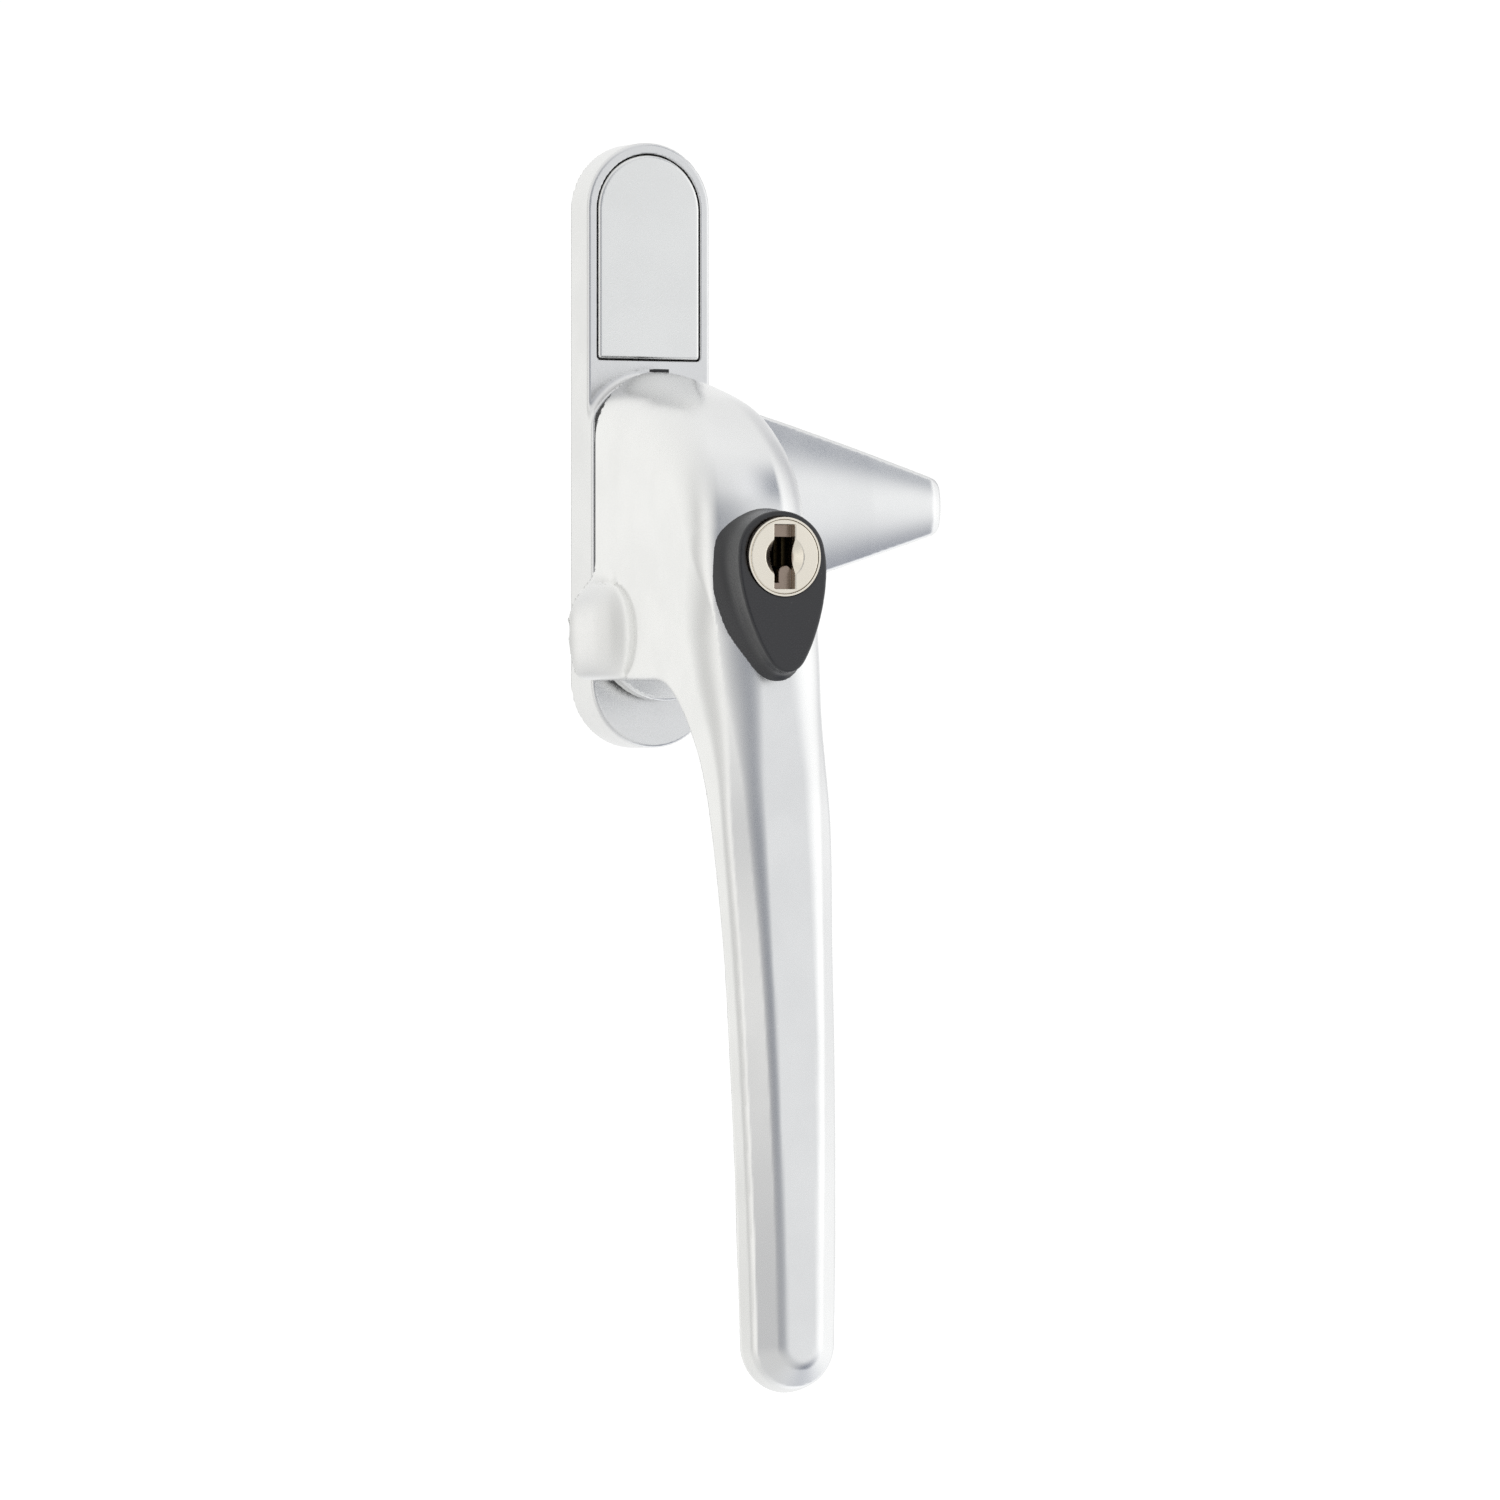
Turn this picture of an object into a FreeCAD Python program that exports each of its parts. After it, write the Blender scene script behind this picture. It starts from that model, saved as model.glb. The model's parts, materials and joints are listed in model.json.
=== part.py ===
import FreeCAD, Part
import math
import os
import re

import Sketcher

# Lockable cockspur handle for an outward-opening casement window.
# Frame: X to the right, Z up, Y into the window. The mounting plane is Y = 0 and the
# pivot axis is the Y axis. "out" is the distance in front of the mounting plane (-Y).

SIZES = [
    # backplate
    ("plate_half", 10.5, "half the width of the backplate, and its end radius"),
    ("plate_low", -22.3, "centre of the lower end"),
    ("plate_high", 51.2, "centre of the upper end"),
    ("upper_thick", 6.6, "thickness behind the cover cap"),
    ("lower_thick", 8.2, "thickness behind the handle"),
    ("step_radius", 11.8, "radius of the arc where the plate gets thicker"),
    ("step_centre", 13.7, "height of that arc's centre"),
    ("step_end", 19.08, "height where the arc meets the plate's sides"),
    ("recess_radius", 8.6, "recess behind the plate for the spindle's washers"),
    ("recess_depth", 4.6, "depth of that recess"),
    # cover cap
    ("pocket_half", 8.8, "half the width of the cap's pocket"),
    ("pocket_low", 27.7, "bottom of the cap's pocket"),
    ("pocket_high", 51.1, "centre of the pocket's round top"),
    ("pocket_floor", 3.4, "floor of the cap's pocket"),
    ("cap_gap", 0.15, "gap all round the cap"),
    ("cap_back", 5.0, "back of the cap"),
    ("cap_front", 6.75, "front of the cap"),
    ("cap_pillow", 0.45, "softening of the cap's edge"),
    ("cap_leg_radius", 0.8, "snap leg"),
    ("cap_leg_wide", 6.4, "lower snap legs, sideways"),
    ("cap_leg_low", 30.6, "lower snap legs"),
    ("cap_leg_close", 5.1, "upper snap legs, sideways"),
    ("cap_leg_high", 52.6, "upper snap legs"),
    ("cap_leg_root", 0.5, "how far a snap leg runs into the cap"),
    # screws into the window
    ("screw_high", 43.4, "upper fixing screw"),
    ("screw_low", -20.6, "lower fixing screw"),
    ("screw_radius", 2.0, "threaded part of a fixing screw"),
    ("screw_neck", 1.8, "neck of a fixing screw, below its head"),
    ("neck_end", 0.5, "end of the neck, behind the plate"),
    ("screw_hole", 2.2, "screw hole in the plate"),
    ("screw_head", 3.9, "head of a fixing screw"),
    ("screw_cone", 2.0, "depth of the countersunk head"),
    ("screw_reach", 13.0, "end of the threaded part, behind the plate"),
    ("screw_point", 3.0, "length of the screw's point"),
    # pivot
    ("spindle_radius", 4.0, "pivot spindle"),
    ("pivot_gap", 0.05, "running clearance"),
    ("spindle_back", 1.0, "rear end of the spindle"),
    ("spindle_front", 21.5, "front end of the spindle, in the handle"),
    ("groove_radius", 3.1, "clip groove of the spindle"),
    ("groove_back", 1.9, "rear wall of the clip groove"),
    ("groove_front", 2.7, "front wall of the clip groove"),
    ("clip_radius", 6.2, "outside of the retaining clip"),
    ("clip_mouth", 2.3, "half the mouth of the retaining clip"),
    ("washer_radius", 7.5, "thrust washer and disc spring"),
    ("washer_front", 3.4, "front of the thrust washer"),
    ("disc_thick", 0.5, "thickness of the disc spring"),
    ("disc_rise", 0.6, "height of the disc spring's cone"),
    # nylon washer between plate and handle
    ("nylon_half", 10.1, "half the width of the nylon washer"),
    ("nylon_centre", 14.2, "centres of its round ends"),
    ("tab_left", -0.7, "left side of the washer's tab"),
    ("tab_right", 1.8, "right side of the washer's tab"),
    ("tab_top", 26.2, "top of the washer's tab"),
    # spur
    ("base_back", 10.1, "back of the spur's base and nose"),
    ("base_front", 13.1, "front of the spur's base"),
    ("base_half", 10.9, "half the width of the spur's base"),
    ("base_low", -14.6, "centre of the base's lower end"),
    ("base_high", 14.4, "centre of the base's upper end"),
    ("nose_centre", 5.2, "height of the nose's centre line"),
    # handle body
    ("body_bottom", -22.3, "flat underside of the body"),
    ("ear_low", -22.3, "bottom of the thumb ear"),
    ("ear_high", -6.2, "top of the thumb ear"),
    ("ear_reach", -16.6, "how far the ear stands out to the left"),
    ("ear_mid", -14.6, "height of the thumb dish"),
    ("ear_front", 26.0, "where the ear runs out into the body's side"),
    ("ear_root", -10.5, "how far the ear stands out there"),
    ("ear_slope", 2.2, "slope at the ear's upper corner"),
    ("ear_tuck", 1.4, "how far the ear's lower corner is drawn in"),
    ("ear_lift", 1.2, "height of the ear's lower corner above its bottom"),
    ("ear_foot", -10.0, "where the ear's bottom ends"),
    ("ear_inside", -6.0, "inner side of the ear, within the body"),
    ("dish_radius", 13.0, "radius of the thumb dish"),
    ("dish_x", -22.3, "centre of the dish's sphere, sideways"),
    ("dish_out", 24.0, "centre of the dish's sphere, outwards"),
    ("grip_end_radius", 7.6, "round end of the grip"),
    ("grip_end_centre", -122.6, "centre of the grip's round end"),
    ("trim_front", 70.0, "front of the cut that rounds the grip's end"),
    ("trim_depth", 30.0, "depth of that cut"),
    ("trim_half", 14.0, "half the width of that cut"),
    ("trim_low", -140.0, "lower side of that cut"),
    # spur screws
    ("spur_screw_high", 15.5, "upper spur screw"),
    ("spur_screw_low", -19.2, "lower spur screw"),
    ("spur_screw_radius", 1.5, "shank of a spur screw"),
    ("spur_screw_head", 2.8, "head of a spur screw"),
    ("spur_screw_cone", 1.4, "depth of its countersunk head"),
    ("spur_screw_end", 21.0, "tip of a spur screw"),
    # lock
    ("lock_height", -3.9, "height of the lock's axis"),
    ("face_out", 56.0, "front of the lock cylinder and the plug"),
    ("rim_radius", 6.0, "visible rim of the lock cylinder"),
    ("rim_back", 53.9, "back of that rim"),
    ("barrel_radius", 6.7, "barrel of the lock cylinder"),
    ("barrel_back", 36.5, "rear end of the barrel"),
    ("head_radius", 5.65, "round face of the plug"),
    ("head_back", 54.5, "seat of the plug's face in the cylinder"),
    ("plug_radius", 5.2, "body of the plug"),
    ("plug_back", 36.9, "rear end of the plug's body"),
    ("tail_radius", 2.5, "tail of the plug"),
    ("tail_flat", 1.9, "half the width across the tail's flats"),
    ("tail_back", 24.2, "rear end of the tail"),
    ("tail_groove", 1.8, "clip groove of the tail"),
    ("cam_clip_back", 24.75, "back of the cam clip"),
    ("cam_clip_front", 25.35, "front of the cam clip"),
    ("cam_clip_radius", 3.9, "outside of the cam clip"),
    ("cam_radius", 4.6, "grooved drum"),
    ("cam_back", 25.5, "rear end of the drum"),
    ("cam_front", 36.2, "front end of the drum"),
    ("cam_floor", 2.8, "radius of the groove's floor"),
    ("cam_groove_half", 1.85, "half the width of the drum's groove"),
    ("keyway_half", 1.4, "half the keyway's width, inside"),
    ("keyway_high", 3.8, "half the keyway's height, inside"),
    ("keyway_end", 38.5, "blind end of the keyway"),
    ("entry_half", 1.7, "half the width of the slot in the face"),
    ("entry_high", 4.85, "half the height of the slot in the face"),
    ("entry_depth", 1.2, "depth of the slot in the face"),
    ("dish_face_radius", 3.1, "round pocket in the plug's face"),
    ("dish_face_depth", 0.8, "depth of that pocket"),
    # wafers
    ("wafer_first", 40.4, "rear wafer"),
    ("wafer_pitch", 2.7, "distance from wafer to wafer"),
    ("wafer_thick", 0.8, "thickness of a wafer"),
    ("wafer_half", 2.2, "half the width of a wafer"),
    ("wafer_high", 4.6, "half the height of a wafer"),
    ("wafer_slack", 0.1, "clearance of a wafer in its slot"),
    ("wafer_window", 1.45, "half the width of a wafer's window"),
    ("wafer_window_high", 3.0, "half the height of a wafer's window"),
    ("wafer_lug", 3.6, "spring lug of a wafer"),
    ("wafer_lug_low", 0.6, "underside of the spring lug, from the lock's axis"),
    ("wafer_lug_high", 1.5, "top of the spring lug, from the lock's axis"),
    ("spring_x", 3.02, "axis of a wafer spring"),
    ("spring_coil", 0.5, "mean radius of a wafer spring"),
    ("spring_wire", 0.12, "wire radius of a wafer spring"),
    ("spring_low", -2.6, "foot of a wafer spring, from the lock's axis"),
    ("room_half", 0.7, "half the depth of a wafer spring's room"),
    ("room_rise", 0.8, "space above a wafer's lug"),
    ("room_side", 0.15, "space beside a wafer's lug"),
    ("locker_high", 5.75, "roof of the cylinder's locking grooves, from the axis"),
    # lock screw and lug
    ("lug_screw", -14.9, "height of the lock screw"),
    ("lug_half", 3.3, "half the width of the cylinder's lug"),
    ("lug_back", 48.4, "back of the lug"),
    ("lug_front", 49.9, "front of the lug"),
    ("lock_screw_radius", 1.3, "shank of the lock screw"),
    ("lock_screw_head", 2.6, "head of the lock screw"),
    ("lock_screw_front", 50.8, "top of the lock screw's head"),
    ("lock_screw_end", 44.0, "tip of the lock screw"),
    # shroud
    ("shroud_back", 48.4, "back of the shroud"),
    ("shroud_front", 55.7, "front of the shroud"),
    ("shroud_low", -18.7, "centre of the shroud's narrow end"),
    ("shroud_back_wide", 8.3, "wide radius at the back"),
    ("shroud_back_narrow", 3.8, "narrow radius at the back"),
    ("shroud_front_wide", 7.1, "wide radius at the front"),
    ("shroud_front_narrow", 2.6, "narrow radius at the front"),
    ("shroud_hollow_front", 51.0, "roof of the hollow over the lug"),
    # locking bolt
    ("bolt_height", -13.0, "height of the bolt's axis"),
    ("bolt_radius", 2.5, "locking bolt"),
    ("bolt_tip", 10.7, "tip of the bolt when unlocked"),
    ("bolt_end", 35.2, "front end of the bolt"),
    ("bolt_throw", 5.5, "travel of the bolt"),
    ("bolt_hole", 2.9, "bolt hole in plate and washer"),
    ("bolt_hole_floor", 2.4, "floor of the bolt hole in the plate"),
    ("peg_out", 33.5, "follower peg when unlocked"),
    ("peg_radius", 1.1, "follower peg"),
    ("peg_top", -7.1, "upper end of the follower peg"),
    ("slot_half", 1.5, "half the width of the peg's slot in the handle"),
]
SIZE = {alias: number for alias, number, _ in SIZES}
TURN_DEGREES = 90.0
RUN_ON_DEGREES = 19.0
WAFER_COUNT = 5
SPRING_TURNS = 4

# Handle body, from the spur's base outwards: distance out, half width, height of the top.
BODY_SECTIONS = [
    (13.1, 10.9, 25.1),
    (23.0, 10.9, 23.4),
    (33.0, 10.9, 20.8),
    (40.0, 10.9, 17.0),
    (45.5, 10.5, 11.8),
    (49.0, 9.5, 6.4),
    (50.5, 7.8, 2.6),
]

# Neck and grip, downwards: height, half width, back, front of the side wall, front facet,
# half width of the facet.
GRIP_SECTIONS = [
    (-12.0, 9.5, 34.0, 43.5, 48.6, 5.0),
    (-22.3, 10.0, 37.6, 45.9, 52.0, 5.0),
    (-31.6, 10.0, 44.0, 49.2, 54.5, 4.8),
    (-37.7, 9.6, 46.6, 51.0, 55.6, 4.6),
    (-50.0, 9.0, 49.5, 53.9, 57.2, 4.5),
    (-60.0, 8.6, 51.4, 55.6, 58.6, 4.6),
    (-71.0, 8.3, 52.7, 57.0, 59.8, 4.4),
    (-90.0, 7.9, 54.2, 58.5, 61.2, 3.8),
    (-110.0, 7.6, 55.0, 59.4, 62.0, 3.3),
    (-131.5, 7.4, 55.4, 59.6, 62.1, 3.1),
]

# Nose of the spur, to the right: X, half height, depth of the edges, depth of the crown.
NOSE_SECTIONS = [
    (7.0, 16.3, 5.2, 9.6),
    (20.0, 12.6, 5.0, 8.6),
    (34.0, 8.3, 4.6, 7.2),
    (45.0, 4.7, 4.2, 5.4),
    (47.0, 3.5, 3.6, 4.6),
]

doc = FreeCAD.newDocument("cockspur_handle")
sheet = doc.addObject("Spreadsheet::Sheet", "sizes")
parts = []


# ---------------------------------------------------------------- sizes and formulas

def fill_sheet():
    """Writes the driving dimensions and their names into the spreadsheet."""
    for row, (alias, number, meaning) in enumerate(SIZES, start=1):
        sheet.set("A%d" % row, meaning)
        sheet.set("B%d" % row, str(number))
        sheet.setAlias("B%d" % row, alias)
    doc.recompute()


def value(formula):
    """Works out a sum of products such as "plate_half - 2*cap_gap" in millimetres."""
    total = 0.0
    for sign, term in re.findall(r"([+-]?)\s*([\w.*]+)", str(formula)):
        product = -1.0 if sign == "-" else 1.0
        for factor in term.split("*"):
            product *= SIZE[factor] if factor in SIZE else float(factor)
        total += product
    return total


def negate(formula):
    """Turns a formula's sign round, term by term."""
    flipped = []
    for sign, term in re.findall(r"([+-]?)\s*([\w.*]+)", str(formula)):
        flipped.append(("+ " if sign == "-" else "- ") + term)
    return " ".join(flipped).lstrip("+ ")


def difference(end, start):
    """Joins two formulas into the distance between them."""
    far = negate(start)
    return "%s %s" % (end, far if far.startswith("-") else "+ " + far)


def bind(thing, path, formula):
    """Binds one property to the spreadsheet."""
    words = re.sub(r"[a-z][a-z_]+", lambda word: "sizes." + word.group(), str(formula))
    thing.setExpression(path, words)


# ---------------------------------------------------------------- sketches

def new_body(label):
    """Starts a sub-part."""
    body = doc.addObject("PartDesign::Body", label)
    body.Label = label
    body.Placement = FreeCAD.Placement()
    parts.append(body)
    return body


def new_sketch(body, name, plane, out="0", height="0"):
    """Adds a sketch. "front" lies at a distance out, with X and Z as its axes; "side" lies
    on the middle plane, with out and Z as its axes; "top" lies at a height, with X and Y."""
    roles = {"front": "XZ_Plane", "side": "YZ_Plane", "top": "XY_Plane"}
    support = [item for item in body.Origin.OriginFeatures if item.Role == roles[plane]][0]
    sketch = body.newObject("Sketcher::SketchObject", name)
    sketch.AttachmentSupport = (support, [""])
    sketch.MapMode = "FlatFace"
    if plane == "front":
        bind(sketch, "AttachmentOffset.Base.z", out)
    elif plane == "side":
        half_turn = FreeCAD.Rotation(FreeCAD.Vector(0, 1, 0), 180)
        sketch.AttachmentOffset = FreeCAD.Placement(FreeCAD.Vector(), half_turn)
        bind(sketch, "AttachmentOffset.Base.y", height)
    else:
        bind(sketch, "AttachmentOffset.Base.z", height)
    return sketch


def pin_point(sketch, geometry, point, across, up):
    """Fixes one point of a sketch at (across, up), bound to the spreadsheet."""
    for kind, formula, axis in (("DistanceX", across, -2), ("DistanceY", up, -1)):
        if abs(value(formula)) < 1e-9:
            sketch.addConstraint(Sketcher.Constraint("PointOnObject", geometry, point, axis))
            continue
        rule = Sketcher.Constraint(kind, -1, 1, geometry, point, value(formula))
        index = sketch.addConstraint(rule)
        bind(sketch, "Constraints[%d]" % index, formula)


def fix_radius(sketch, geometry, radius):
    """Gives a circle or an arc its radius, bound to the spreadsheet."""
    index = sketch.addConstraint(Sketcher.Constraint("Radius", geometry, value(radius)))
    bind(sketch, "Constraints[%d]" % index, radius)


def add_circle(sketch, across, up, radius):
    centre = FreeCAD.Vector(value(across), value(up), 0)
    circle = Part.Circle(centre, FreeCAD.Vector(0, 0, 1), value(radius))
    index = sketch.addGeometry(circle, False)
    pin_point(sketch, index, 3, across, up)
    fix_radius(sketch, index, radius)


def add_polygon(sketch, points):
    """Adds straight lines through the points, closed."""
    corners = [FreeCAD.Vector(value(across), value(up), 0) for across, up in points]
    lines = []
    for here, after in zip(corners, corners[1:] + corners[:1]):
        lines.append(sketch.addGeometry(Part.LineSegment(here, after), False))
    for line, after in zip(lines, lines[1:] + lines[:1]):
        sketch.addConstraint(Sketcher.Constraint("Coincident", line, 2, after, 1))
    for line, (across, up) in zip(lines, points):
        pin_point(sketch, line, 1, across, up)


def add_box(sketch, left, right, low, high):
    add_polygon(sketch, [(left, low), (right, low), (right, high), (left, high)])


def add_arc(sketch, up, radius, start, end):
    """Adds an arc centred on the middle line, from start to end in radians."""
    centre = FreeCAD.Vector(0, value(up), 0)
    circle = Part.Circle(centre, FreeCAD.Vector(0, 0, 1), value(radius))
    index = sketch.addGeometry(Part.ArcOfCircle(circle, start, end), False)
    pin_point(sketch, index, 3, "0", up)
    fix_radius(sketch, index, radius)
    return index


def add_line(sketch, start, end):
    line = Part.LineSegment(FreeCAD.Vector(*start, 0), FreeCAD.Vector(*end, 0))
    return sketch.addGeometry(line, False)


def add_egg(sketch, low, low_radius, high, high_radius):
    """Adds two arcs on the middle line, joined by tangent lines; an obround if they match."""
    lean = math.asin((value(high_radius) - value(low_radius)) / (value(high) - value(low)))
    upper = add_arc(sketch, high, high_radius, -lean, math.pi + lean)
    lower = add_arc(sketch, low, low_radius, math.pi + lean, 2 * math.pi - lean)
    sides = []
    for sign in (-1, 1):
        tops, feet = [
            (sign * value(radius) * math.cos(lean), value(up) - value(radius) * math.sin(lean))
            for up, radius in ((high, high_radius), (low, low_radius))
        ]
        sides.append(add_line(sketch, tops, feet))
    left, right = sides
    for first, point, second, other in (
        (upper, 2, left, 1), (left, 2, lower, 1), (lower, 2, right, 2), (right, 1, upper, 1),
    ):
        sketch.addConstraint(Sketcher.Constraint("Tangent", first, point, second, other))


def add_dome(sketch, low, half, centre):
    """Adds a flat bottom, upright sides and a round top."""
    width, foot, spring = value(half), value(low), value(centre)
    top = add_arc(sketch, centre, half, 0, math.pi)
    left = add_line(sketch, (-width, spring), (-width, foot))
    bottom = add_line(sketch, (-width, foot), (width, foot))
    right = add_line(sketch, (width, foot), (width, spring))
    sketch.addConstraint(Sketcher.Constraint("Tangent", top, 2, left, 1))
    sketch.addConstraint(Sketcher.Constraint("Coincident", left, 2, bottom, 1))
    sketch.addConstraint(Sketcher.Constraint("Coincident", bottom, 2, right, 1))
    sketch.addConstraint(Sketcher.Constraint("Tangent", right, 2, top, 1))
    pin_point(sketch, bottom, 1, negate(half), low)
    sketch.addConstraint(Sketcher.Constraint("Horizontal", bottom))


# ---------------------------------------------------------------- features

def pad(body, sketch, length):
    """Raises a front sketch outwards, or a top sketch upwards."""
    feature = body.newObject("PartDesign::Pad", sketch.Name + "_pad")
    feature.Profile = sketch
    bind(feature, "Length", length)
    return feature


def pocket(body, sketch, length, outwards=False):
    """Cuts from a front sketch towards the window, or outwards."""
    feature = body.newObject("PartDesign::Pocket", sketch.Name + "_pocket")
    feature.Profile = sketch
    bind(feature, "Length", length)
    feature.Reversed = outwards
    return feature


def loft(body, sketches, kind="AdditiveLoft"):
    """Skins a run of sketches with straight facets."""
    feature = body.newObject("PartDesign::" + kind, sketches[0].Name + "_loft")
    feature.Profile = sketches[0]
    feature.Sections = sketches[1:]
    feature.Ruled = True
    return feature


def turned(body, name, profile, height="0", kind="Revolution"):
    """Turns a profile of (out, radius) points about a line along Y at the given height."""
    sketch = new_sketch(body, name, "side", height=height)
    add_polygon(sketch, profile)
    feature = body.newObject("PartDesign::" + kind, name + "_turned")
    feature.Profile = sketch
    feature.ReferenceAxis = (sketch, ["H_Axis"])
    feature.Angle = 360
    return feature


def tube_profile(back, front, inner, outer):
    return [(back, inner), (front, inner), (front, outer), (back, outer)]


def round_hole(body, name, height, radius, start, end, across="0"):
    """Cuts a round hole along Y between two distances out."""
    sketch = new_sketch(body, name, "front", out=end)
    add_circle(sketch, across, height, radius)
    return pocket(body, sketch, difference(end, start))


def pattern_outwards(body, feature, count, pitch):
    """Repeats a feature outwards along -Y."""
    axis = [item for item in body.Origin.OriginFeatures if item.Role == "Y_Axis"][0]
    repeat = body.newObject("PartDesign::LinearPattern", feature.Name + "_row")
    repeat.Originals = [feature]
    repeat.Direction = (axis, [""])
    repeat.Reversed = True
    repeat.Occurrences = count
    bind(repeat, "Length", "%d*%s" % (count - 1, pitch))
    body.Tip = repeat
    return repeat


# ---------------------------------------------------------------- backplate side

def make_backplate():
    body = new_body("backplate")
    outline = new_sketch(body, "plate_outline", "front")
    add_egg(outline, "plate_low", "plate_half", "plate_high", "plate_half")
    pad(body, outline, "upper_thick")

    raised = new_sketch(body, "plate_raised", "front", out="upper_thick")
    width, foot, shoulder = SIZE["plate_half"], SIZE["plate_low"], SIZE["step_end"]
    lean = math.acos(width / SIZE["step_radius"])
    top = add_arc(raised, "step_centre", "step_radius", lean, math.pi - lean)
    bottom = add_arc(raised, "plate_low", "plate_half", math.pi, 2 * math.pi)
    left = add_line(raised, (-width, shoulder), (-width, foot))
    right = add_line(raised, (width, foot), (width, shoulder))
    raised.addConstraint(Sketcher.Constraint("Coincident", top, 2, left, 1))
    raised.addConstraint(Sketcher.Constraint("Tangent", left, 2, bottom, 1))
    raised.addConstraint(Sketcher.Constraint("Tangent", bottom, 2, right, 1))
    raised.addConstraint(Sketcher.Constraint("Coincident", right, 2, top, 1))
    pad(body, raised, "lower_thick - upper_thick")

    seat = new_sketch(body, "cap_pocket", "front", out="upper_thick")
    add_dome(seat, "pocket_low", "pocket_half", "pocket_high")
    pocket(body, seat, "upper_thick - pocket_floor")

    round_hole(body, "spindle_bore", "0", "spindle_radius + pivot_gap", "-1", "lower_thick + 1")
    round_hole(body, "washer_recess", "0", "recess_radius", "-1", "recess_depth")
    round_hole(body, "bolt_socket", "bolt_height", "bolt_hole", "bolt_hole_floor",
               "lower_thick + 1")
    for name, height, face in (
        ("upper_hole", "screw_high", "pocket_floor"), ("lower_hole", "screw_low", "lower_thick"),
    ):
        turned(body, name, [
            ("-1", "0"), ("-1", "screw_hole"), (face + " - screw_cone", "screw_hole"),
            (face, "screw_head"), (face + " + 1", "screw_head"), (face + " + 1", "0"),
        ], height, "Groove")


def make_cover_cap():
    body = new_body("cover_cap")
    outline = new_sketch(body, "cap_outline", "front", out="cap_back")
    add_dome(outline, "pocket_low + cap_gap", "pocket_half - cap_gap", "pocket_high")
    pad(body, outline, "cap_front - cap_back")
    legs = new_sketch(body, "cap_legs", "front", out="pocket_floor")
    for across, height in (("cap_leg_wide", "cap_leg_low"), ("cap_leg_close", "cap_leg_high")):
        for side in ("-1*", "1*"):
            add_circle(legs, side + across, height, "cap_leg_radius")
    solid = pad(body, legs, "cap_back - pocket_floor + cap_leg_root")
    doc.recompute()
    front = [
        "Edge%d" % (number + 1) for number, edge in enumerate(body.Shape.Edges)
        if all(abs(vertex.Y + SIZE["cap_front"]) < 1e-6 for vertex in edge.Vertexes)
    ]
    pillow = body.newObject("PartDesign::Chamfer", "cap_edge")
    pillow.Base = (solid, front)
    bind(pillow, "Size", "cap_pillow")


def along_y(name, kind, height, start, **sizes):
    """Adds a Part primitive whose axis runs out from the window, starting at "start"."""
    shape = doc.addObject("Part::" + kind, name)
    turn = FreeCAD.Rotation(FreeCAD.Vector(1, 0, 0), 90)
    shape.Placement = FreeCAD.Placement(FreeCAD.Vector(), turn)
    bind(shape, "Placement.Base.y", negate(start))
    bind(shape, "Placement.Base.z", height)
    for size, formula in sizes.items():
        bind(shape, size, formula)
    return shape


def join(label, pieces):
    """Fuses primitives into one object."""
    whole = doc.addObject("Part::MultiFuse", label)
    whole.Shapes = pieces
    return whole


def group(label, pieces):
    """Keeps separate solids together in one sub-part."""
    whole = doc.addObject("Part::Compound", label)
    whole.Label = label
    whole.Links = pieces
    whole.Placement = FreeCAD.Placement()
    parts.append(whole)


def make_fixing_screws():
    screws = []
    for name, height, face in (
        ("upper_screw", "screw_high", "pocket_floor"), ("lower_screw", "screw_low", "lower_thick"),
    ):
        head = along_y(name + "_head", "Cone", height, face + " - screw_cone",
                       Radius1="screw_neck", Radius2="screw_head", Height="screw_cone")
        neck = along_y(name + "_neck", "Cylinder", height, "-1*neck_end",
                       Radius="screw_neck", Height=face + " - screw_cone + neck_end")
        thread = along_y(name + "_thread", "Cylinder", height, "-1*screw_reach",
                         Radius="screw_radius", Height="screw_reach - neck_end")
        point = along_y(name + "_point", "Cone", height, "-1*screw_reach - screw_point",
                        Radius1="0.2*screw_radius", Radius2="screw_radius", Height="screw_point")
        blank = join(name + "_blank", [head, neck, thread, point])
        cross = doc.addObject("Part::Box", name + "_cross")
        bind(cross, "Length", "screw_head")
        bind(cross, "Width", "screw_cone")
        bind(cross, "Height", "0.2*screw_head")
        bind(cross, "Placement.Base.x", "-0.5*screw_head")
        bind(cross, "Placement.Base.y", negate(face))
        bind(cross, "Placement.Base.z", height + " - 0.1*screw_head")
        upright = doc.addObject("Part::Box", name + "_upright")
        bind(upright, "Length", "0.2*screw_head")
        bind(upright, "Width", "screw_cone")
        bind(upright, "Height", "screw_head")
        bind(upright, "Placement.Base.x", "-0.1*screw_head")
        bind(upright, "Placement.Base.y", negate(face))
        bind(upright, "Placement.Base.z", height + " - 0.5*screw_head")
        recess = join(name + "_recess", [cross, upright])
        screw = doc.addObject("Part::Cut", name)
        screw.Base = blank
        screw.Tool = recess
        screws.append(screw)
    group("fixing_screws", screws)


# ---------------------------------------------------------------- pivot

def make_nylon_washer():
    body = new_body("nylon_washer")
    back = "lower_thick + pivot_gap"
    outline = new_sketch(body, "nylon_outline", "front", out=back)
    add_egg(outline, "-1*nylon_centre", "nylon_half", "nylon_centre", "nylon_half")
    thickness = "base_back - lower_thick - pivot_gap"
    pad(body, outline, thickness)
    tab = new_sketch(body, "nylon_tab", "front", out=back)
    add_box(tab, "tab_left", "tab_right", "nylon_centre", "tab_top")
    pad(body, tab, thickness)
    round_hole(body, "nylon_bore", "0", "spindle_radius", "lower_thick", "base_back + 1")
    round_hole(body, "nylon_bolt_hole", "bolt_height", "bolt_hole", "lower_thick",
               "base_back + 1")


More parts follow.
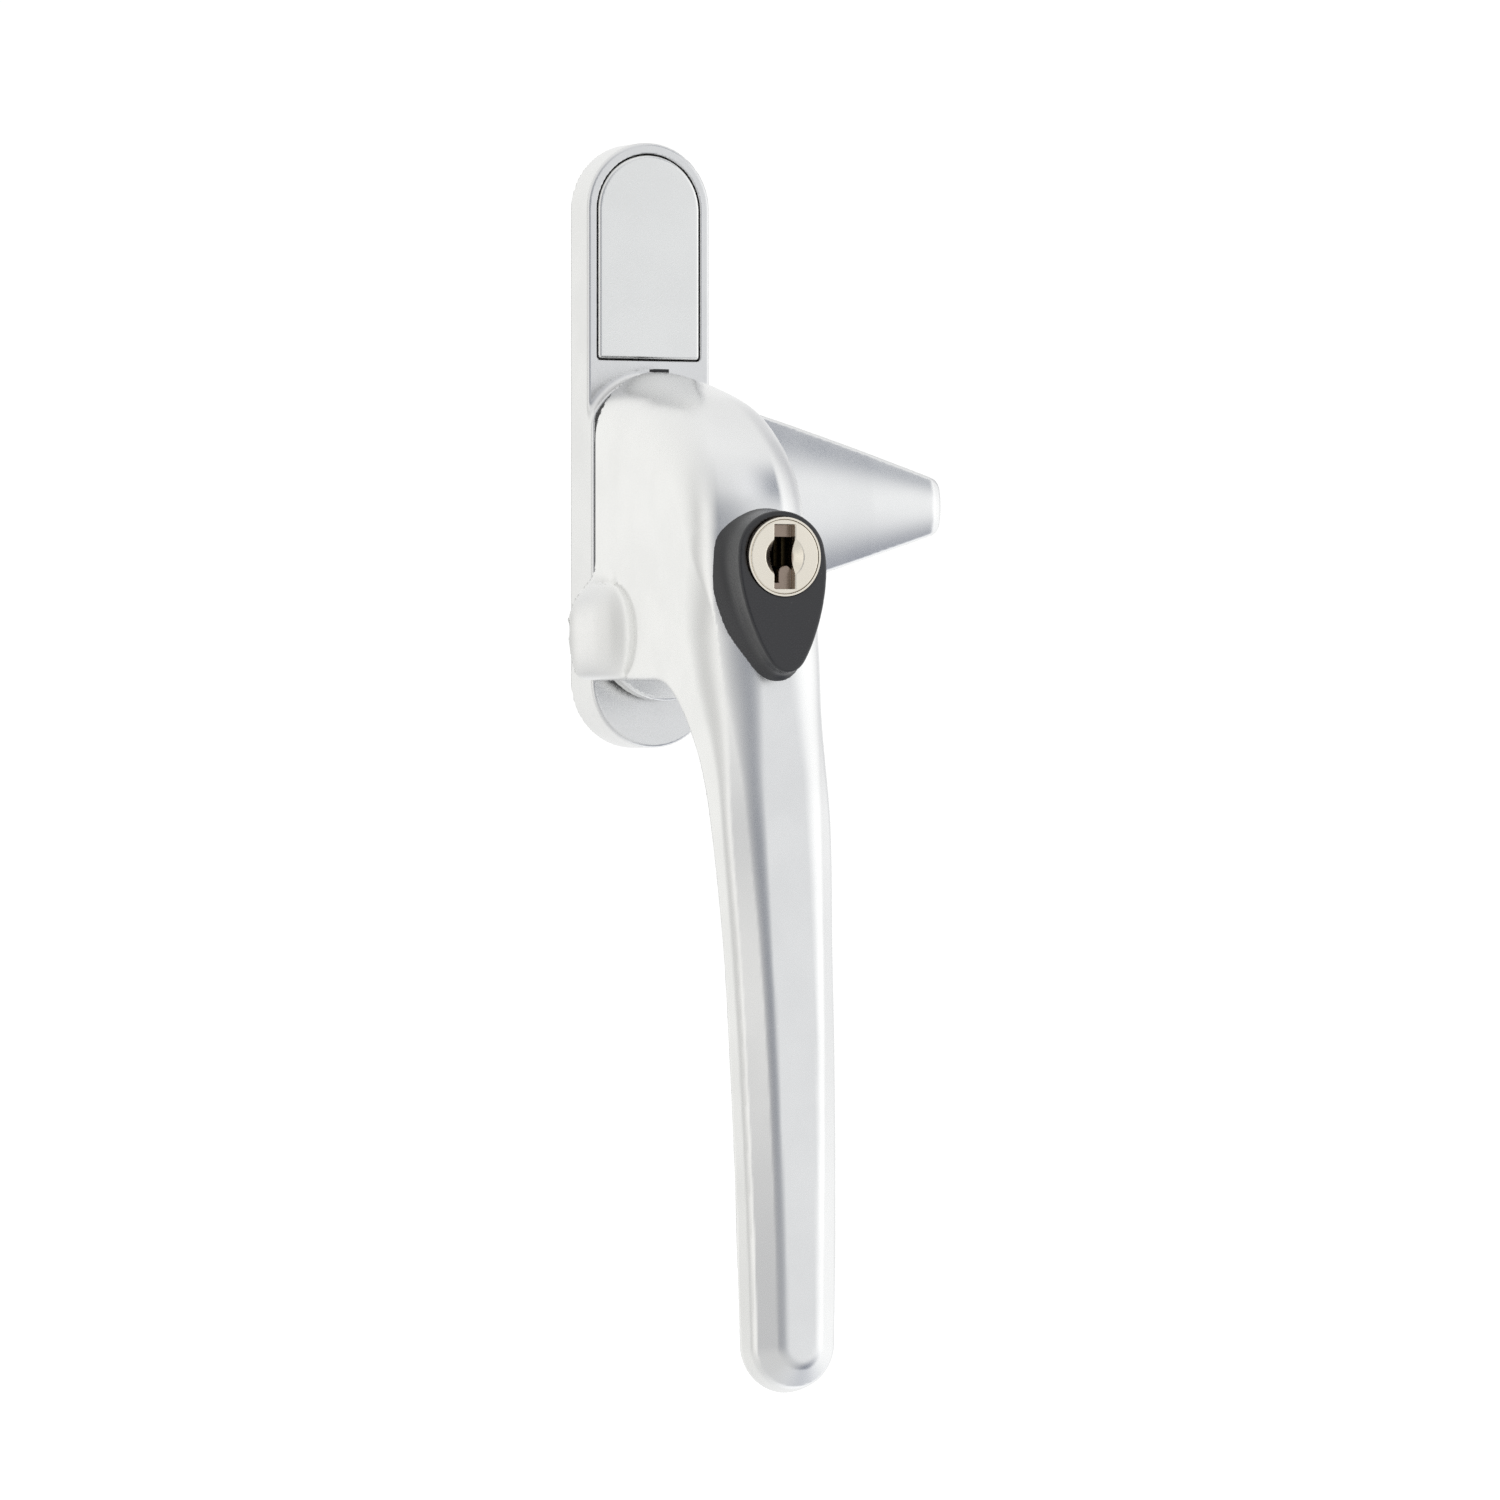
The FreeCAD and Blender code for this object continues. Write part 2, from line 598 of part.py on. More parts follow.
def make_pivot_spindle():
    body = new_body("pivot_spindle")
    turned(body, "spindle_profile", [
        ("spindle_back", "0"), ("spindle_back", "spindle_radius - 0.4"),
        ("spindle_back + 0.4", "spindle_radius"), ("groove_back", "spindle_radius"),
        ("groove_back", "groove_radius"), ("groove_front", "groove_radius"),
        ("groove_front", "spindle_radius"), ("spindle_front", "spindle_radius"),
        ("spindle_front", "0"),
    ])


def make_clip(label, back, front, inner, outer, mouth, height):
    """Makes an open ring that snaps into a groove, with its mouth downwards."""
    body = new_body(label)
    turned(body, label + "_ring", tube_profile(back, front, inner, outer), height)
    opening = new_sketch(body, label + "_mouth", "front", out=front)
    add_box(opening, "-1*" + mouth, mouth, height + " - " + outer + " - 1", height)
    pocket(body, opening, difference(front, back))


def make_thrust_washer():
    body = new_body("thrust_washer")
    turned(body, "thrust_ring",
           tube_profile("groove_front + pivot_gap", "washer_front", "spindle_radius + 0.1",
                        "washer_radius"))


def make_disc_spring():
    body = new_body("disc_spring")
    inner, outer = "spindle_radius + 0.15", "washer_radius - 0.2"
    turned(body, "disc_ring", [
        ("washer_front", inner), ("washer_front + disc_thick", inner),
        ("washer_front + disc_thick + disc_rise", outer), ("washer_front + disc_rise", outer),
    ])


# ---------------------------------------------------------------- spur

def nose_sketches(body, sections):
    """Draws cross-sections of the nose: flat back, short edges and a crowned front."""
    sketches = []
    for number, (across, half, edge, crown) in enumerate(sections):
        sketch = new_sketch(body, "nose_%d" % number, "side")
        bind(sketch, "AttachmentOffset.Base.z", "%g" % across)
        middle, back = SIZE["nose_centre"], SIZE["base_back"]
        corners = [
            FreeCAD.Vector(back, middle - half, 0), FreeCAD.Vector(back, middle + half, 0),
            FreeCAD.Vector(back + edge, middle + half, 0),
            FreeCAD.Vector(back + edge, middle - half, 0),
        ]
        summit = FreeCAD.Vector(back + crown, middle, 0)
        for start, end in ((3, 0), (0, 1), (1, 2)):
            sketch.addGeometry(Part.LineSegment(corners[start], corners[end]), False)
        sketch.addGeometry(Part.Arc(corners[3], summit, corners[2]), False)
        sketches.append(sketch)
    return sketches


def make_spur():
    body = new_body("spur")
    base = new_sketch(body, "spur_base", "front", out="base_back")
    add_egg(base, "base_low", "base_half", "base_high", "base_half")
    pad(body, base, "base_front - base_back")
    loft(body, nose_sketches(body, NOSE_SECTIONS))
    round_hole(body, "spur_bore", "0", "spindle_radius", "base_back - 1", "base_front + 1")
    round_hole(body, "spur_bolt_bore", "bolt_height", "bolt_radius + pivot_gap",
               "base_back - 1", "base_front + 1")
    for name, height in (("spur_upper", "spur_screw_high"), ("spur_lower", "spur_screw_low")):
        turned(body, name, [
            ("base_back - 1", "0"), ("base_back - 1", "spur_screw_head"),
            ("base_back", "spur_screw_head"),
            ("base_back + spur_screw_cone", "spur_screw_radius"),
            ("base_front + 1", "spur_screw_radius"), ("base_front + 1", "0"),
        ], height, "Groove")


def make_spur_screws():
    screws = []
    for name, height in (("spur_screw_a", "spur_screw_high"), ("spur_screw_b", "spur_screw_low")):
        head = along_y(name + "_head", "Cone", height, "base_back",
                       Radius1="spur_screw_head", Radius2="spur_screw_radius",
                       Height="spur_screw_cone")
        shank = along_y(name + "_shank", "Cylinder", height, "base_back + spur_screw_cone",
                        Radius="spur_screw_radius",
                        Height="spur_screw_end - base_back - spur_screw_cone")
        screws.append(join(name, [head, shank]))
    group("spur_screws", screws)


# ---------------------------------------------------------------- handle

def make_handle():
    body = new_body("handle")
    sections = []
    for number, (out, half, top) in enumerate(BODY_SECTIONS):
        sketch = new_sketch(body, "body_%d" % number, "front", out="%g" % out)
        add_dome(sketch, "body_bottom", "%g" % half, "%g" % (top - half))
        sections.append(sketch)
    loft(body, sections)

    sections = []
    for number, (height, half, back, side, facet, flat) in enumerate(GRIP_SECTIONS):
        sketch = new_sketch(body, "grip_%d" % number, "top", height="%g" % height)
        right = [(half, back), (half, side), (flat, facet)]
        left = [(-across, out) for across, out in reversed(right)]
        add_polygon(sketch, [("%g" % across, "%g" % -out) for across, out in right + left])
        sections.append(sketch)
    loft(body, sections)

    end = new_sketch(body, "grip_end", "front", out="trim_front")
    arch = add_arc(end, "grip_end_centre", "grip_end_radius", math.pi, 2 * math.pi)
    foot, edge = SIZE["trim_low"], SIZE["trim_half"]
    level, radius = SIZE["grip_end_centre"], SIZE["grip_end_radius"]
    corners = [(radius, level), (edge, level), (edge, foot), (-edge, foot), (-edge, level),
               (-radius, level)]
    lines = [add_line(end, *pair) for pair in zip(corners, corners[1:])]
    chain = [arch] + lines
    for first, second in zip(chain, chain[1:] + chain[:1]):
        end.addConstraint(Sketcher.Constraint("Coincident", first, 2, second, 1))
    pocket(body, end, "trim_depth")

    ear = []
    for name, out, upper, middle, lower in (
        ("ear_back", "base_back", "ear_reach + ear_slope", "ear_reach", "ear_reach + ear_tuck"),
        ("ear_face", "ear_front", "ear_root", "ear_root", "ear_root"),
    ):
        sketch = new_sketch(body, name, "front", out=out)
        add_polygon(sketch, [
            ("ear_inside", "ear_high"), (upper, "ear_high - ear_slope"), (middle, "ear_mid"),
            (lower, "ear_low + ear_lift"), ("ear_foot", "ear_low"), ("ear_inside", "ear_low"),
        ])
        ear.append(sketch)
    loft(body, ear)
    dish = body.newObject("PartDesign::SubtractiveSphere", "thumb_dish")
    bind(dish, "Radius", "dish_radius")
    bind(dish, "Placement.Base.x", "dish_x")
    bind(dish, "Placement.Base.y", "-1*dish_out")
    bind(dish, "Placement.Base.z", "ear_mid")

    seat = new_sketch(body, "base_seat", "front", out="base_front")
    add_egg(seat, "base_low", "base_half", "base_high", "base_half")
    pocket(body, seat, "base_front")
    loft(body, nose_sketches(body, NOSE_SECTIONS[:2]), "SubtractiveLoft")

    shroud_seat = new_sketch(body, "shroud_seat", "front", out="shroud_back")
    add_egg(shroud_seat, "shroud_low", "shroud_back_narrow", "lock_height", "shroud_back_wide")
    pocket(body, shroud_seat, "trim_front - shroud_back", outwards=True)

    round_hole(body, "barrel_bore", "lock_height", "barrel_radius", "barrel_back",
               "trim_front")
    round_hole(body, "cam_room", "lock_height", "cam_radius + 0.5", "tail_back - 0.3",
               "barrel_back + 1")
    round_hole(body, "bolt_bore", "bolt_height", "bolt_radius + pivot_gap", "base_front - 1",
               "bolt_end + 0.9")
    round_hole(body, "spindle_seat", "0", "spindle_radius", "base_front - 1", "spindle_front")
    round_hole(body, "lock_screw_hole", "lug_screw", "lock_screw_radius", "lock_screw_end",
               "shroud_back + 1")
    for name, height in (("upper_thread", "spur_screw_high"), ("lower_thread", "spur_screw_low")):
        round_hole(body, name, height, "spur_screw_radius", "base_front - 1", "spur_screw_end")

    slot = new_sketch(body, "peg_slot", "front", out="peg_out + slot_half")
    add_box(slot, "-1*slot_half", "slot_half", "bolt_height", "lock_height")
    pocket(body, slot, "bolt_throw + 2*slot_half")


# ---------------------------------------------------------------- lock

def make_lock_shroud():
    body = new_body("lock_shroud")
    back = new_sketch(body, "shroud_base", "front", out="shroud_back")
    add_egg(back, "shroud_low", "shroud_back_narrow", "lock_height", "shroud_back_wide")
    front = new_sketch(body, "shroud_face", "front", out="shroud_front")
    add_egg(front, "shroud_low", "shroud_front_narrow", "lock_height", "shroud_front_wide")
    loft(body, [back, front])
    round_hole(body, "rim_hole", "lock_height", "rim_radius", "shroud_back - 1",
               "shroud_front + 1")
    round_hole(body, "barrel_hole", "lock_height", "barrel_radius", "shroud_back - 1",
               "rim_back")
    hollow = new_sketch(body, "lug_hollow", "front", out="shroud_hollow_front")
    add_egg(hollow, "lug_screw", "lug_half", "lock_height", "lug_half + 2")
    pocket(body, hollow, "shroud_hollow_front - shroud_back")


def make_lock_cylinder():
    body = new_body("lock_cylinder")
    turned(body, "barrel_profile", [
        ("barrel_back", "plug_radius + pivot_gap"), ("head_back", "plug_radius + pivot_gap"),
        ("head_back", "head_radius + pivot_gap"), ("face_out", "head_radius + pivot_gap"),
        ("face_out", "rim_radius"), ("rim_back", "rim_radius"), ("rim_back", "barrel_radius"),
        ("barrel_back", "barrel_radius"),
    ], "lock_height")
    lug = new_sketch(body, "lug_outline", "front", out="lug_back")
    low, high = "lug_screw", "lock_height - plug_radius - 0.5"
    add_egg(lug, low, "lug_half", high, "lug_half - 0.2")
    pad(body, lug, "lug_front - lug_back")
    round_hole(body, "plug_bore", "lock_height", "plug_radius + pivot_gap", "barrel_back",
               "head_back")
    round_hole(body, "lug_hole", "lug_screw", "lock_screw_radius", "lug_back - 1",
               "lug_front + 1")
    length = "%d*wafer_pitch + 2*wafer_thick" % (WAFER_COUNT - 1)
    start = "wafer_first - 0.5*wafer_thick"
    upper = new_sketch(body, "upper_locker", "front", out=start + " + " + length)
    add_box(upper, "-1*wafer_half - 0.2", "wafer_half + 0.2", "lock_height + 3",
            "lock_height + locker_high")
    pocket(body, upper, length)
    side = new_sketch(body, "side_locker", "front", out=start + " + " + length)
    add_box(side, "-1*locker_high", "-3", "lock_height - wafer_half - 0.2",
            "lock_height + wafer_half + 0.2")
    pocket(body, side, length)


def make_lock_screw():
    body = new_body("lock_screw")
    turned(body, "lock_screw_profile", [
        ("lock_screw_end", "0"), ("lock_screw_end", "lock_screw_radius"),
        ("lug_front", "lock_screw_radius"), ("lug_front", "lock_screw_head"),
        ("lock_screw_front", "lock_screw_head"), ("lock_screw_front", "0"),
    ], "lug_screw")


def make_key_plug():
    body = new_body("key_plug")
    turned(body, "plug_profile", [
        ("tail_back", "0"), ("tail_back", "tail_radius"), ("cam_clip_back", "tail_radius"),
        ("cam_clip_back", "tail_groove"), ("cam_clip_front", "tail_groove"),
        ("cam_clip_front", "tail_radius"), ("plug_back", "tail_radius"),
        ("plug_back", "plug_radius"), ("head_back + pivot_gap", "plug_radius"),
        ("head_back + pivot_gap", "head_radius"), ("face_out", "head_radius"),
        ("face_out", "0"),
    ], "lock_height")
    for name, left, right in (
        ("left_flat", "-1*tail_radius - 1", "-1*tail_flat"),
        ("right_flat", "tail_flat", "tail_radius + 1"),
    ):
        flat = new_sketch(body, name, "front", out="cam_front + 0.2")
        add_box(flat, left, right, "lock_height - 4", "lock_height + 4")
        pocket(body, flat, "cam_front + 1.2 - tail_back")
    keyway = new_sketch(body, "keyway", "front", out="face_out")
    add_box(keyway, "-1*keyway_half", "keyway_half", "lock_height - keyway_high",
            "lock_height + keyway_high")
    pocket(body, keyway, "face_out - keyway_end")
    entry = new_sketch(body, "key_entry", "front", out="face_out")
    add_box(entry, "-1*entry_half", "entry_half", "lock_height - entry_high",
            "lock_height + entry_high")
    pocket(body, entry, "entry_depth")
    round_hole(body, "face_dish", "lock_height", "dish_face_radius", "face_out - dish_face_depth",
               "face_out")
    slot = new_sketch(body, "wafer_slot", "front",
                      out="wafer_first + 0.5*wafer_thick + 0.5*wafer_slack")
    add_box(slot, "-1*wafer_half - wafer_slack", "wafer_half + wafer_slack",
            "lock_height - 6", "lock_height + 6")
    cut = pocket(body, slot, "wafer_thick + wafer_slack")
    pattern_outwards(body, cut, WAFER_COUNT, "wafer_pitch")
    room = new_sketch(body, "spring_room", "front", out="wafer_first + room_half")
    add_box(room, "wafer_half", "wafer_lug + room_side", "lock_height + spring_low - pivot_gap",
            "lock_height + wafer_lug_high + room_rise")
    cut = pocket(body, room, "2*room_half")
    pattern_outwards(body, cut, WAFER_COUNT, "wafer_pitch")


def make_wafers():
    body = new_body("wafers")
    body.AllowCompound = True
    outline = new_sketch(body, "wafer_outline", "front", out="wafer_first - 0.5*wafer_thick")
    add_polygon(outline, [
        ("-1*wafer_half", "lock_height - wafer_high"), ("wafer_half", "lock_height - wafer_high"),
        ("wafer_half", "lock_height + wafer_lug_low"), ("wafer_lug", "lock_height + wafer_lug_low"),
        ("wafer_lug", "lock_height + wafer_lug_high"),
        ("wafer_half", "lock_height + wafer_lug_high"),
        ("wafer_half", "lock_height + wafer_high"), ("-1*wafer_half", "lock_height + wafer_high"),
    ])
    add_box(outline, "-1*wafer_window", "wafer_window", "lock_height - wafer_window_high",
            "lock_height + wafer_window_high")
    plate = pad(body, outline, "wafer_thick")
    pattern_outwards(body, plate, WAFER_COUNT, "wafer_pitch")


def make_wafer_springs():
    """Winds one small coil under each wafer's lug."""
    low = SIZE["lock_height"] + SIZE["spring_low"] + SIZE["spring_wire"]
    high = SIZE["lock_height"] + SIZE["wafer_lug_low"] - SIZE["spring_wire"]
    coil, wire = SIZE["spring_coil"], SIZE["spring_wire"]
    height = high - low
    path = Part.makeHelix(height / SPRING_TURNS, height, coil)
    section = Part.Wire(Part.makeCircle(wire, FreeCAD.Vector(coil, 0, 0), FreeCAD.Vector(0, 1, 0)))
    spring = Part.Wire(path).makePipeShell([section], True, True)
    row = []
    for number in range(WAFER_COUNT):
        out = SIZE["wafer_first"] + number * SIZE["wafer_pitch"]
        copy = spring.copy()
        copy.translate(FreeCAD.Vector(SIZE["spring_x"], -out, low))
        row.append(copy)
    springs = doc.addObject("Part::Feature", "wafer_springs")
    springs.Label = "wafer_springs"
    springs.Shape = Part.makeCompound(row)
    springs.Placement = FreeCAD.Placement()
    parts.append(springs)


def make_cam_sleeve():
    """A drum on the plug's tail. Its helical groove drives the bolt's follower peg."""
    body = new_body("cam_sleeve")
    turned(body, "drum_profile", [
        ("cam_back", "0"), ("cam_back", "cam_radius"), ("cam_front", "cam_radius"),
        ("cam_front", "0"),
    ], "lock_height")
    bore = new_sketch(body, "drum_bore", "front", out="cam_front")
    radius, flat, level = SIZE["tail_radius"], SIZE["tail_flat"], SIZE["lock_height"]
    lean = math.acos(flat / radius)
    rise = radius * math.sin(lean)
    top = add_arc(bore, "lock_height", "tail_radius", lean, math.pi - lean)
    left = add_line(bore, (-flat, level + rise), (-flat, level - rise))
    bottom = add_arc(bore, "lock_height", "tail_radius", math.pi + lean, 2 * math.pi - lean)
    right = add_line(bore, (flat, level - rise), (flat, level + rise))
    chain = [top, left, bottom, right]
    for first, second in zip(chain, chain[1:] + chain[:1]):
        bore.addConstraint(Sketcher.Constraint("Coincident", first, 2, second, 1))
    pocket(body, bore, "cam_front - cam_back")

    groove = new_sketch(body, "groove_profile", "side", height="lock_height")
    per_degree = SIZE["bolt_throw"] / TURN_DEGREES
    start = SIZE["peg_out"] + RUN_ON_DEGREES * per_degree
    half = SIZE["cam_groove_half"]
    add_box(groove, "%g" % (start - half), "%g" % (start + half), "-1*cam_radius - 1",
            "-1*cam_floor")
    turn = FreeCAD.Rotation(FreeCAD.Vector(0, 1, 0), 180)
    tilt = FreeCAD.Rotation(FreeCAD.Vector(1, 0, 0), RUN_ON_DEGREES)
    groove.AttachmentOffset = FreeCAD.Placement(groove.AttachmentOffset.Base, turn * tilt)
    cut = body.newObject("PartDesign::SubtractiveHelix", "helical_groove")
    cut.Profile = groove
    cut.ReferenceAxis = (groove, ["H_Axis"])
    cut.Mode = "height-turns-growth"
    cut.Height = (TURN_DEGREES + 2 * RUN_ON_DEGREES) * per_degree
    cut.Turns = (TURN_DEGREES + 2 * RUN_ON_DEGREES) / 360.0
    cut.Reversed = True


def make_locking_bolt():
    body = new_body("locking_bolt")
    turned(body, "bolt_profile", [
        ("bolt_tip", "0"), ("bolt_tip", "bolt_radius - 0.5"), ("bolt_tip + 0.5", "bolt_radius"),
        ("bolt_end", "bolt_radius"), ("bolt_end", "0"),
    ], "bolt_height")
    peg = new_sketch(body, "peg", "top", height="bolt_height")
    add_circle(peg, "0", "-1*peg_out", "peg_radius")
    pad(body, peg, "peg_top - bolt_height")


# ---------------------------------------------------------------- build and write

def check_document():
    """Stops if any object failed or any sub-part has no sound shape."""
    failed = [
        thing.Name for thing in doc.Objects if "Invalid" in thing.State or "Error" in thing.State
    ]
    unsound = [
        part.Label for part in parts if part.Shape.isNull() or not part.Shape.isValid()
    ]
    if failed or unsound:
        raise RuntimeError("failed: %s; unsound: %s" % (failed, unsound))


def main():
    fill_sheet()
    make_backplate()
    make_cover_cap()
    make_fixing_screws()
    make_nylon_washer()
    make_pivot_spindle()
    make_clip("retaining_clip", "groove_back + 0.02", "groove_front - 0.02", "groove_radius",
              "clip_radius", "clip_mouth", "0")
    make_thrust_washer()
    make_disc_spring()
    make_spur()
    make_spur_screws()
    make_handle()
    make_lock_shroud()
    make_lock_cylinder()
    make_lock_screw()
    make_key_plug()
    make_wafers()
    make_wafer_springs()
    make_cam_sleeve()
    make_clip("cam_clip", "cam_clip_back", "cam_clip_front", "tail_groove", "cam_clip_radius",
              "tail_groove", "lock_height")
    make_locking_bolt()
    doc.recompute()
    check_document()
    os.makedirs("parts", exist_ok=True)
    for part in parts:
        part.Shape.exportStep("parts/%s.step" % part.Label)
        box = part.Shape.BoundBox
        print("%-16s solids %d volume %9.2f  X %.2f..%.2f  Y %.2f..%.2f  Z %.2f..%.2f" % (
            part.Label, len(part.Shape.Solids), part.Shape.Volume, box.XMin, box.XMax,
            box.YMin, box.YMax, box.ZMin, box.ZMax))


main()
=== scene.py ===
"""Looks for a lockable window handle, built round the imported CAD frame.

Lengths in the shape functions are millimetres in the CAD frame: x to the right, z up and
"out" in front of the mounting plane, which is minus Y. Each casting is one smooth field that
is negative inside the metal, and skin() wraps a mesh round it.
"""
import json
import math

import bpy
import numpy as np
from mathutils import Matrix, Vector


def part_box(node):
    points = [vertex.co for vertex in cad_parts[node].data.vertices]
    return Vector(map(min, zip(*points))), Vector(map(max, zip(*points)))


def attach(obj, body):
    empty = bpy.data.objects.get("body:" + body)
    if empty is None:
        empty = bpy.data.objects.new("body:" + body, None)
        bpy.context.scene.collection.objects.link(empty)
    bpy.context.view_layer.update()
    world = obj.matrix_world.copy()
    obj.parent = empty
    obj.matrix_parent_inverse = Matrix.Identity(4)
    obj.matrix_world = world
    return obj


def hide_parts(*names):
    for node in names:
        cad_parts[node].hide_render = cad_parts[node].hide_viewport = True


MM = 0.001
COARSE = 1.0

# dimensions that several pieces share, in millimetres
BOLT_HEIGHT = -13.0     # the locking bolt's axis
BOLT_BORE = 2.6         # radius of its bore in the handle and the spur
BASE_BACK = 10.1        # faces of the spur's base plate
BASE_FRONT = 13.1
PLATE_LOW = -22.3       # centres of the backplate's round ends
PLATE_HIGH = 51.2
THIN_FRONT = 6.6        # front faces of the backplate's thin and thick parts
THICK_FRONT = 8.2
COVER_SEAT = 3.4        # floor of the pocket under the cover
COVER_CENTRE = 51.1     # centre of the cover's round top
PLUG_FACE = 56.0        # front of the key plug
KEYWAY_FLOOR = 54.5     # floor of the wide slot in its face


# ---------------------------------------------------------------- blending of fields
def meet(a, b, radius):
    """What lies in both a and b, its outer edge rounded."""
    return (np.hypot(np.maximum(a + radius, 0), np.maximum(b + radius, 0))
            + np.minimum(np.maximum(a, b) + radius, 0) - radius)


def merge(a, b, radius):
    """What lies in a or b, with a fillet between them."""
    return -meet(-a, -b, radius)


def carve(a, b, radius):
    """What is left of a when b is taken out, the rim rounded."""
    return meet(a, -b, radius)


def ramp(value, start, end):
    """0 before start, 1 after end, smooth between them."""
    t = np.clip((value - start) / (end - start), 0, 1)
    return t * t * (3 - 2 * t)


def curve(points, soft, step=0.1):
    """A smooth function through a few (position, value) pairs, corners softened over soft."""
    where, value = np.array(sorted(points)).T
    grid = np.arange(where[0] - 4 * soft, where[-1] + 4 * soft, step)
    reach = int(4 * soft / step)
    weight = np.exp(-0.5 * (np.arange(-reach, reach + 1) * step / soft) ** 2)
    padded = np.pad(np.interp(grid, where, value), reach, mode="edge")
    table = np.convolve(padded, weight / weight.sum(), mode="valid")
    return lambda q: np.interp(q, grid, table)


def spline(points, parts=10):
    """A closed smooth line through the points."""
    p = np.array(points, float)
    before, after, beyond = np.roll(p, 1, 0), np.roll(p, -1, 0), np.roll(p, -2, 0)
    rows = []
    for t in np.arange(parts) / parts:
        rows.append(0.5 * (2 * p + (after - before) * t
                           + (2 * before - 5 * p + 4 * after - beyond) * t ** 2
                           + (3 * p - before - 3 * after + beyond) * t ** 3))
    return np.stack(rows, 1).reshape(-1, 2)


class Outline:
    """The distance to a closed smooth line in a plane, kept on a grid and read smoothly."""

    def __init__(self, points, step=0.5, margin=6.0):
        line = spline(points)
        self.step = step
        self.low = line.min(0) - margin
        count = np.ceil((line.max(0) + margin - self.low) / step).astype(int) + 1
        u = self.low[0] + step * np.arange(count[0])[:, None]
        v = self.low[1] + step * np.arange(count[1])[None, :]
        best = np.full(count, 1e9)
        inside = np.zeros(count, bool)
        for (au, av), (bu, bv) in zip(line, np.roll(line, -1, 0)):
            du, dv = bu - au, bv - av
            t = np.clip(((u - au) * du + (v - av) * dv) / (du * du + dv * dv), 0, 1)
            best = np.minimum(best, (u - au - t * du) ** 2 + (v - av - t * dv) ** 2)
            if av != bv:
                inside ^= ((av > v) != (bv > v)) & (u < au + (v - av) * du / dv)
        self.grid = np.where(inside, -1, 1) * np.sqrt(best)

    def __call__(self, u, v):
        a = (u - self.low[0]) / self.step
        b = (v - self.low[1]) / self.step
        i = np.clip(np.floor(a).astype(int), 1, self.grid.shape[0] - 3)
        j = np.clip(np.floor(b).astype(int), 1, self.grid.shape[1] - 3)
        s, t = np.clip(a - i, 0, 1), np.clip(b - j, 0, 1)
        total = 0.0
        for m, ws in enumerate(self.weights(s)):
            for n, wt in enumerate(self.weights(t)):
                total = total + ws * wt * self.grid[i + m - 1, j + n - 1]
        return total

    @staticmethod
    def weights(t):
        """How much each of four neighbours in a row counts at t between the middle two."""
        return ((1 - t) ** 3 / 6, (3 * t ** 3 - 6 * t ** 2 + 4) / 6,
                (-3 * t ** 3 + 3 * t ** 2 + 3 * t + 1) / 6, t ** 3 / 6)


def capsule(x, z, low, high, radius):
    """A long shape with round ends, centred at heights low and high."""
    return np.hypot(x, z - np.clip(z, low, high)) - radius


def rod(x, z, height, radius):
    """An endless round bar along the pivot's direction."""
    return np.hypot(x, z - height) - radius


def slab(out, back, front):
    """Everything between two distances in front of the mounting plane."""
    return np.maximum(back - out, out - front)


# ---------------------------------------------------------------- meshes from fields
def at_corner(grid, cells, corner):
    """The grid's values at one corner of each cell."""
    i, j, k = (cells + corner).T
    return grid[i, j, k]


def wrap(field, low, high, cell):
    """Vertices and quads of the field's surface, one vertex in each cell that it crosses."""
    low, high = np.array(low, float), np.array(high, float)
    count = np.ceil((high - low) / cell).astype(int) + 1
    axes = [low[n] + cell * np.arange(count[n]) for n in range(3)]
    grid = field(axes[0][:, None, None], axes[1][None, :, None], axes[2][None, None, :])
    grid = np.broadcast_to(grid, count)
    inside = grid < 0
    full = np.zeros(count - 1, np.int8)
    for i in (0, 1):
        for j in (0, 1):
            for k in (0, 1):
                full += inside[i:count[0] - 1 + i, j:count[1] - 1 + j, k:count[2] - 1 + k]
    crossed = (full > 0) & (full < 8)
    number = np.full(crossed.shape, -1, np.int64)
    cells = np.argwhere(crossed)
    number[crossed] = np.arange(len(cells))
    total, hits = np.zeros((len(cells), 3)), np.zeros(len(cells))
    for axis in range(3):
        others = [n for n in range(3) if n != axis]
        for first in (0, 1):
            for second in (0, 1):
                start = np.zeros(3, int)
                start[others[0]], start[others[1]] = first, second
                end = start.copy()
                end[axis] = 1
                a, b = at_corner(grid, cells, start), at_corner(grid, cells, end)
                cut = (a < 0) != (b < 0)
                t = np.where(cut, a / np.where(cut, a - b, 1), 0)
                total[cut] += (start + t[:, None] * (end - start))[cut]
                hits += cut
    points = low + cell * (cells + total / hits[:, None])
    quads = []
    for axis in range(3):
        u, v = (axis + 1) % 3, (axis + 2) % 3
        here = np.moveaxis(inside, (axis, u, v), (0, 1, 2))
        change = here[:-1, 1:-1, 1:-1] != here[1:, 1:-1, 1:-1]
        at = np.argwhere(change) + (0, 1, 1)
        flip = here[at[:, 0], at[:, 1], at[:, 2]]
        ids = np.moveaxis(number, (axis, u, v), (0, 1, 2))
        ring = [ids[at[:, 0], at[:, 1] - p, at[:, 2] - q] for p, q in
                ((0, 0), (1, 0), (1, 1), (0, 1))]
        quad = np.stack(ring, 1)
        quad[flip] = quad[flip][:, ::-1]
        quads.append(quad)
    return points, np.concatenate(quads)


def slope(field, points, reach):
    """The field's gradient at each point."""
    x, out, z = points.T
    return np.stack([
        field(x + reach, out, z) - field(x - reach, out, z),
        field(x, out + reach, z) - field(x, out - reach, z),
        field(x, out, z + reach) - field(x, out, z - reach)], 1) / (2 * reach)


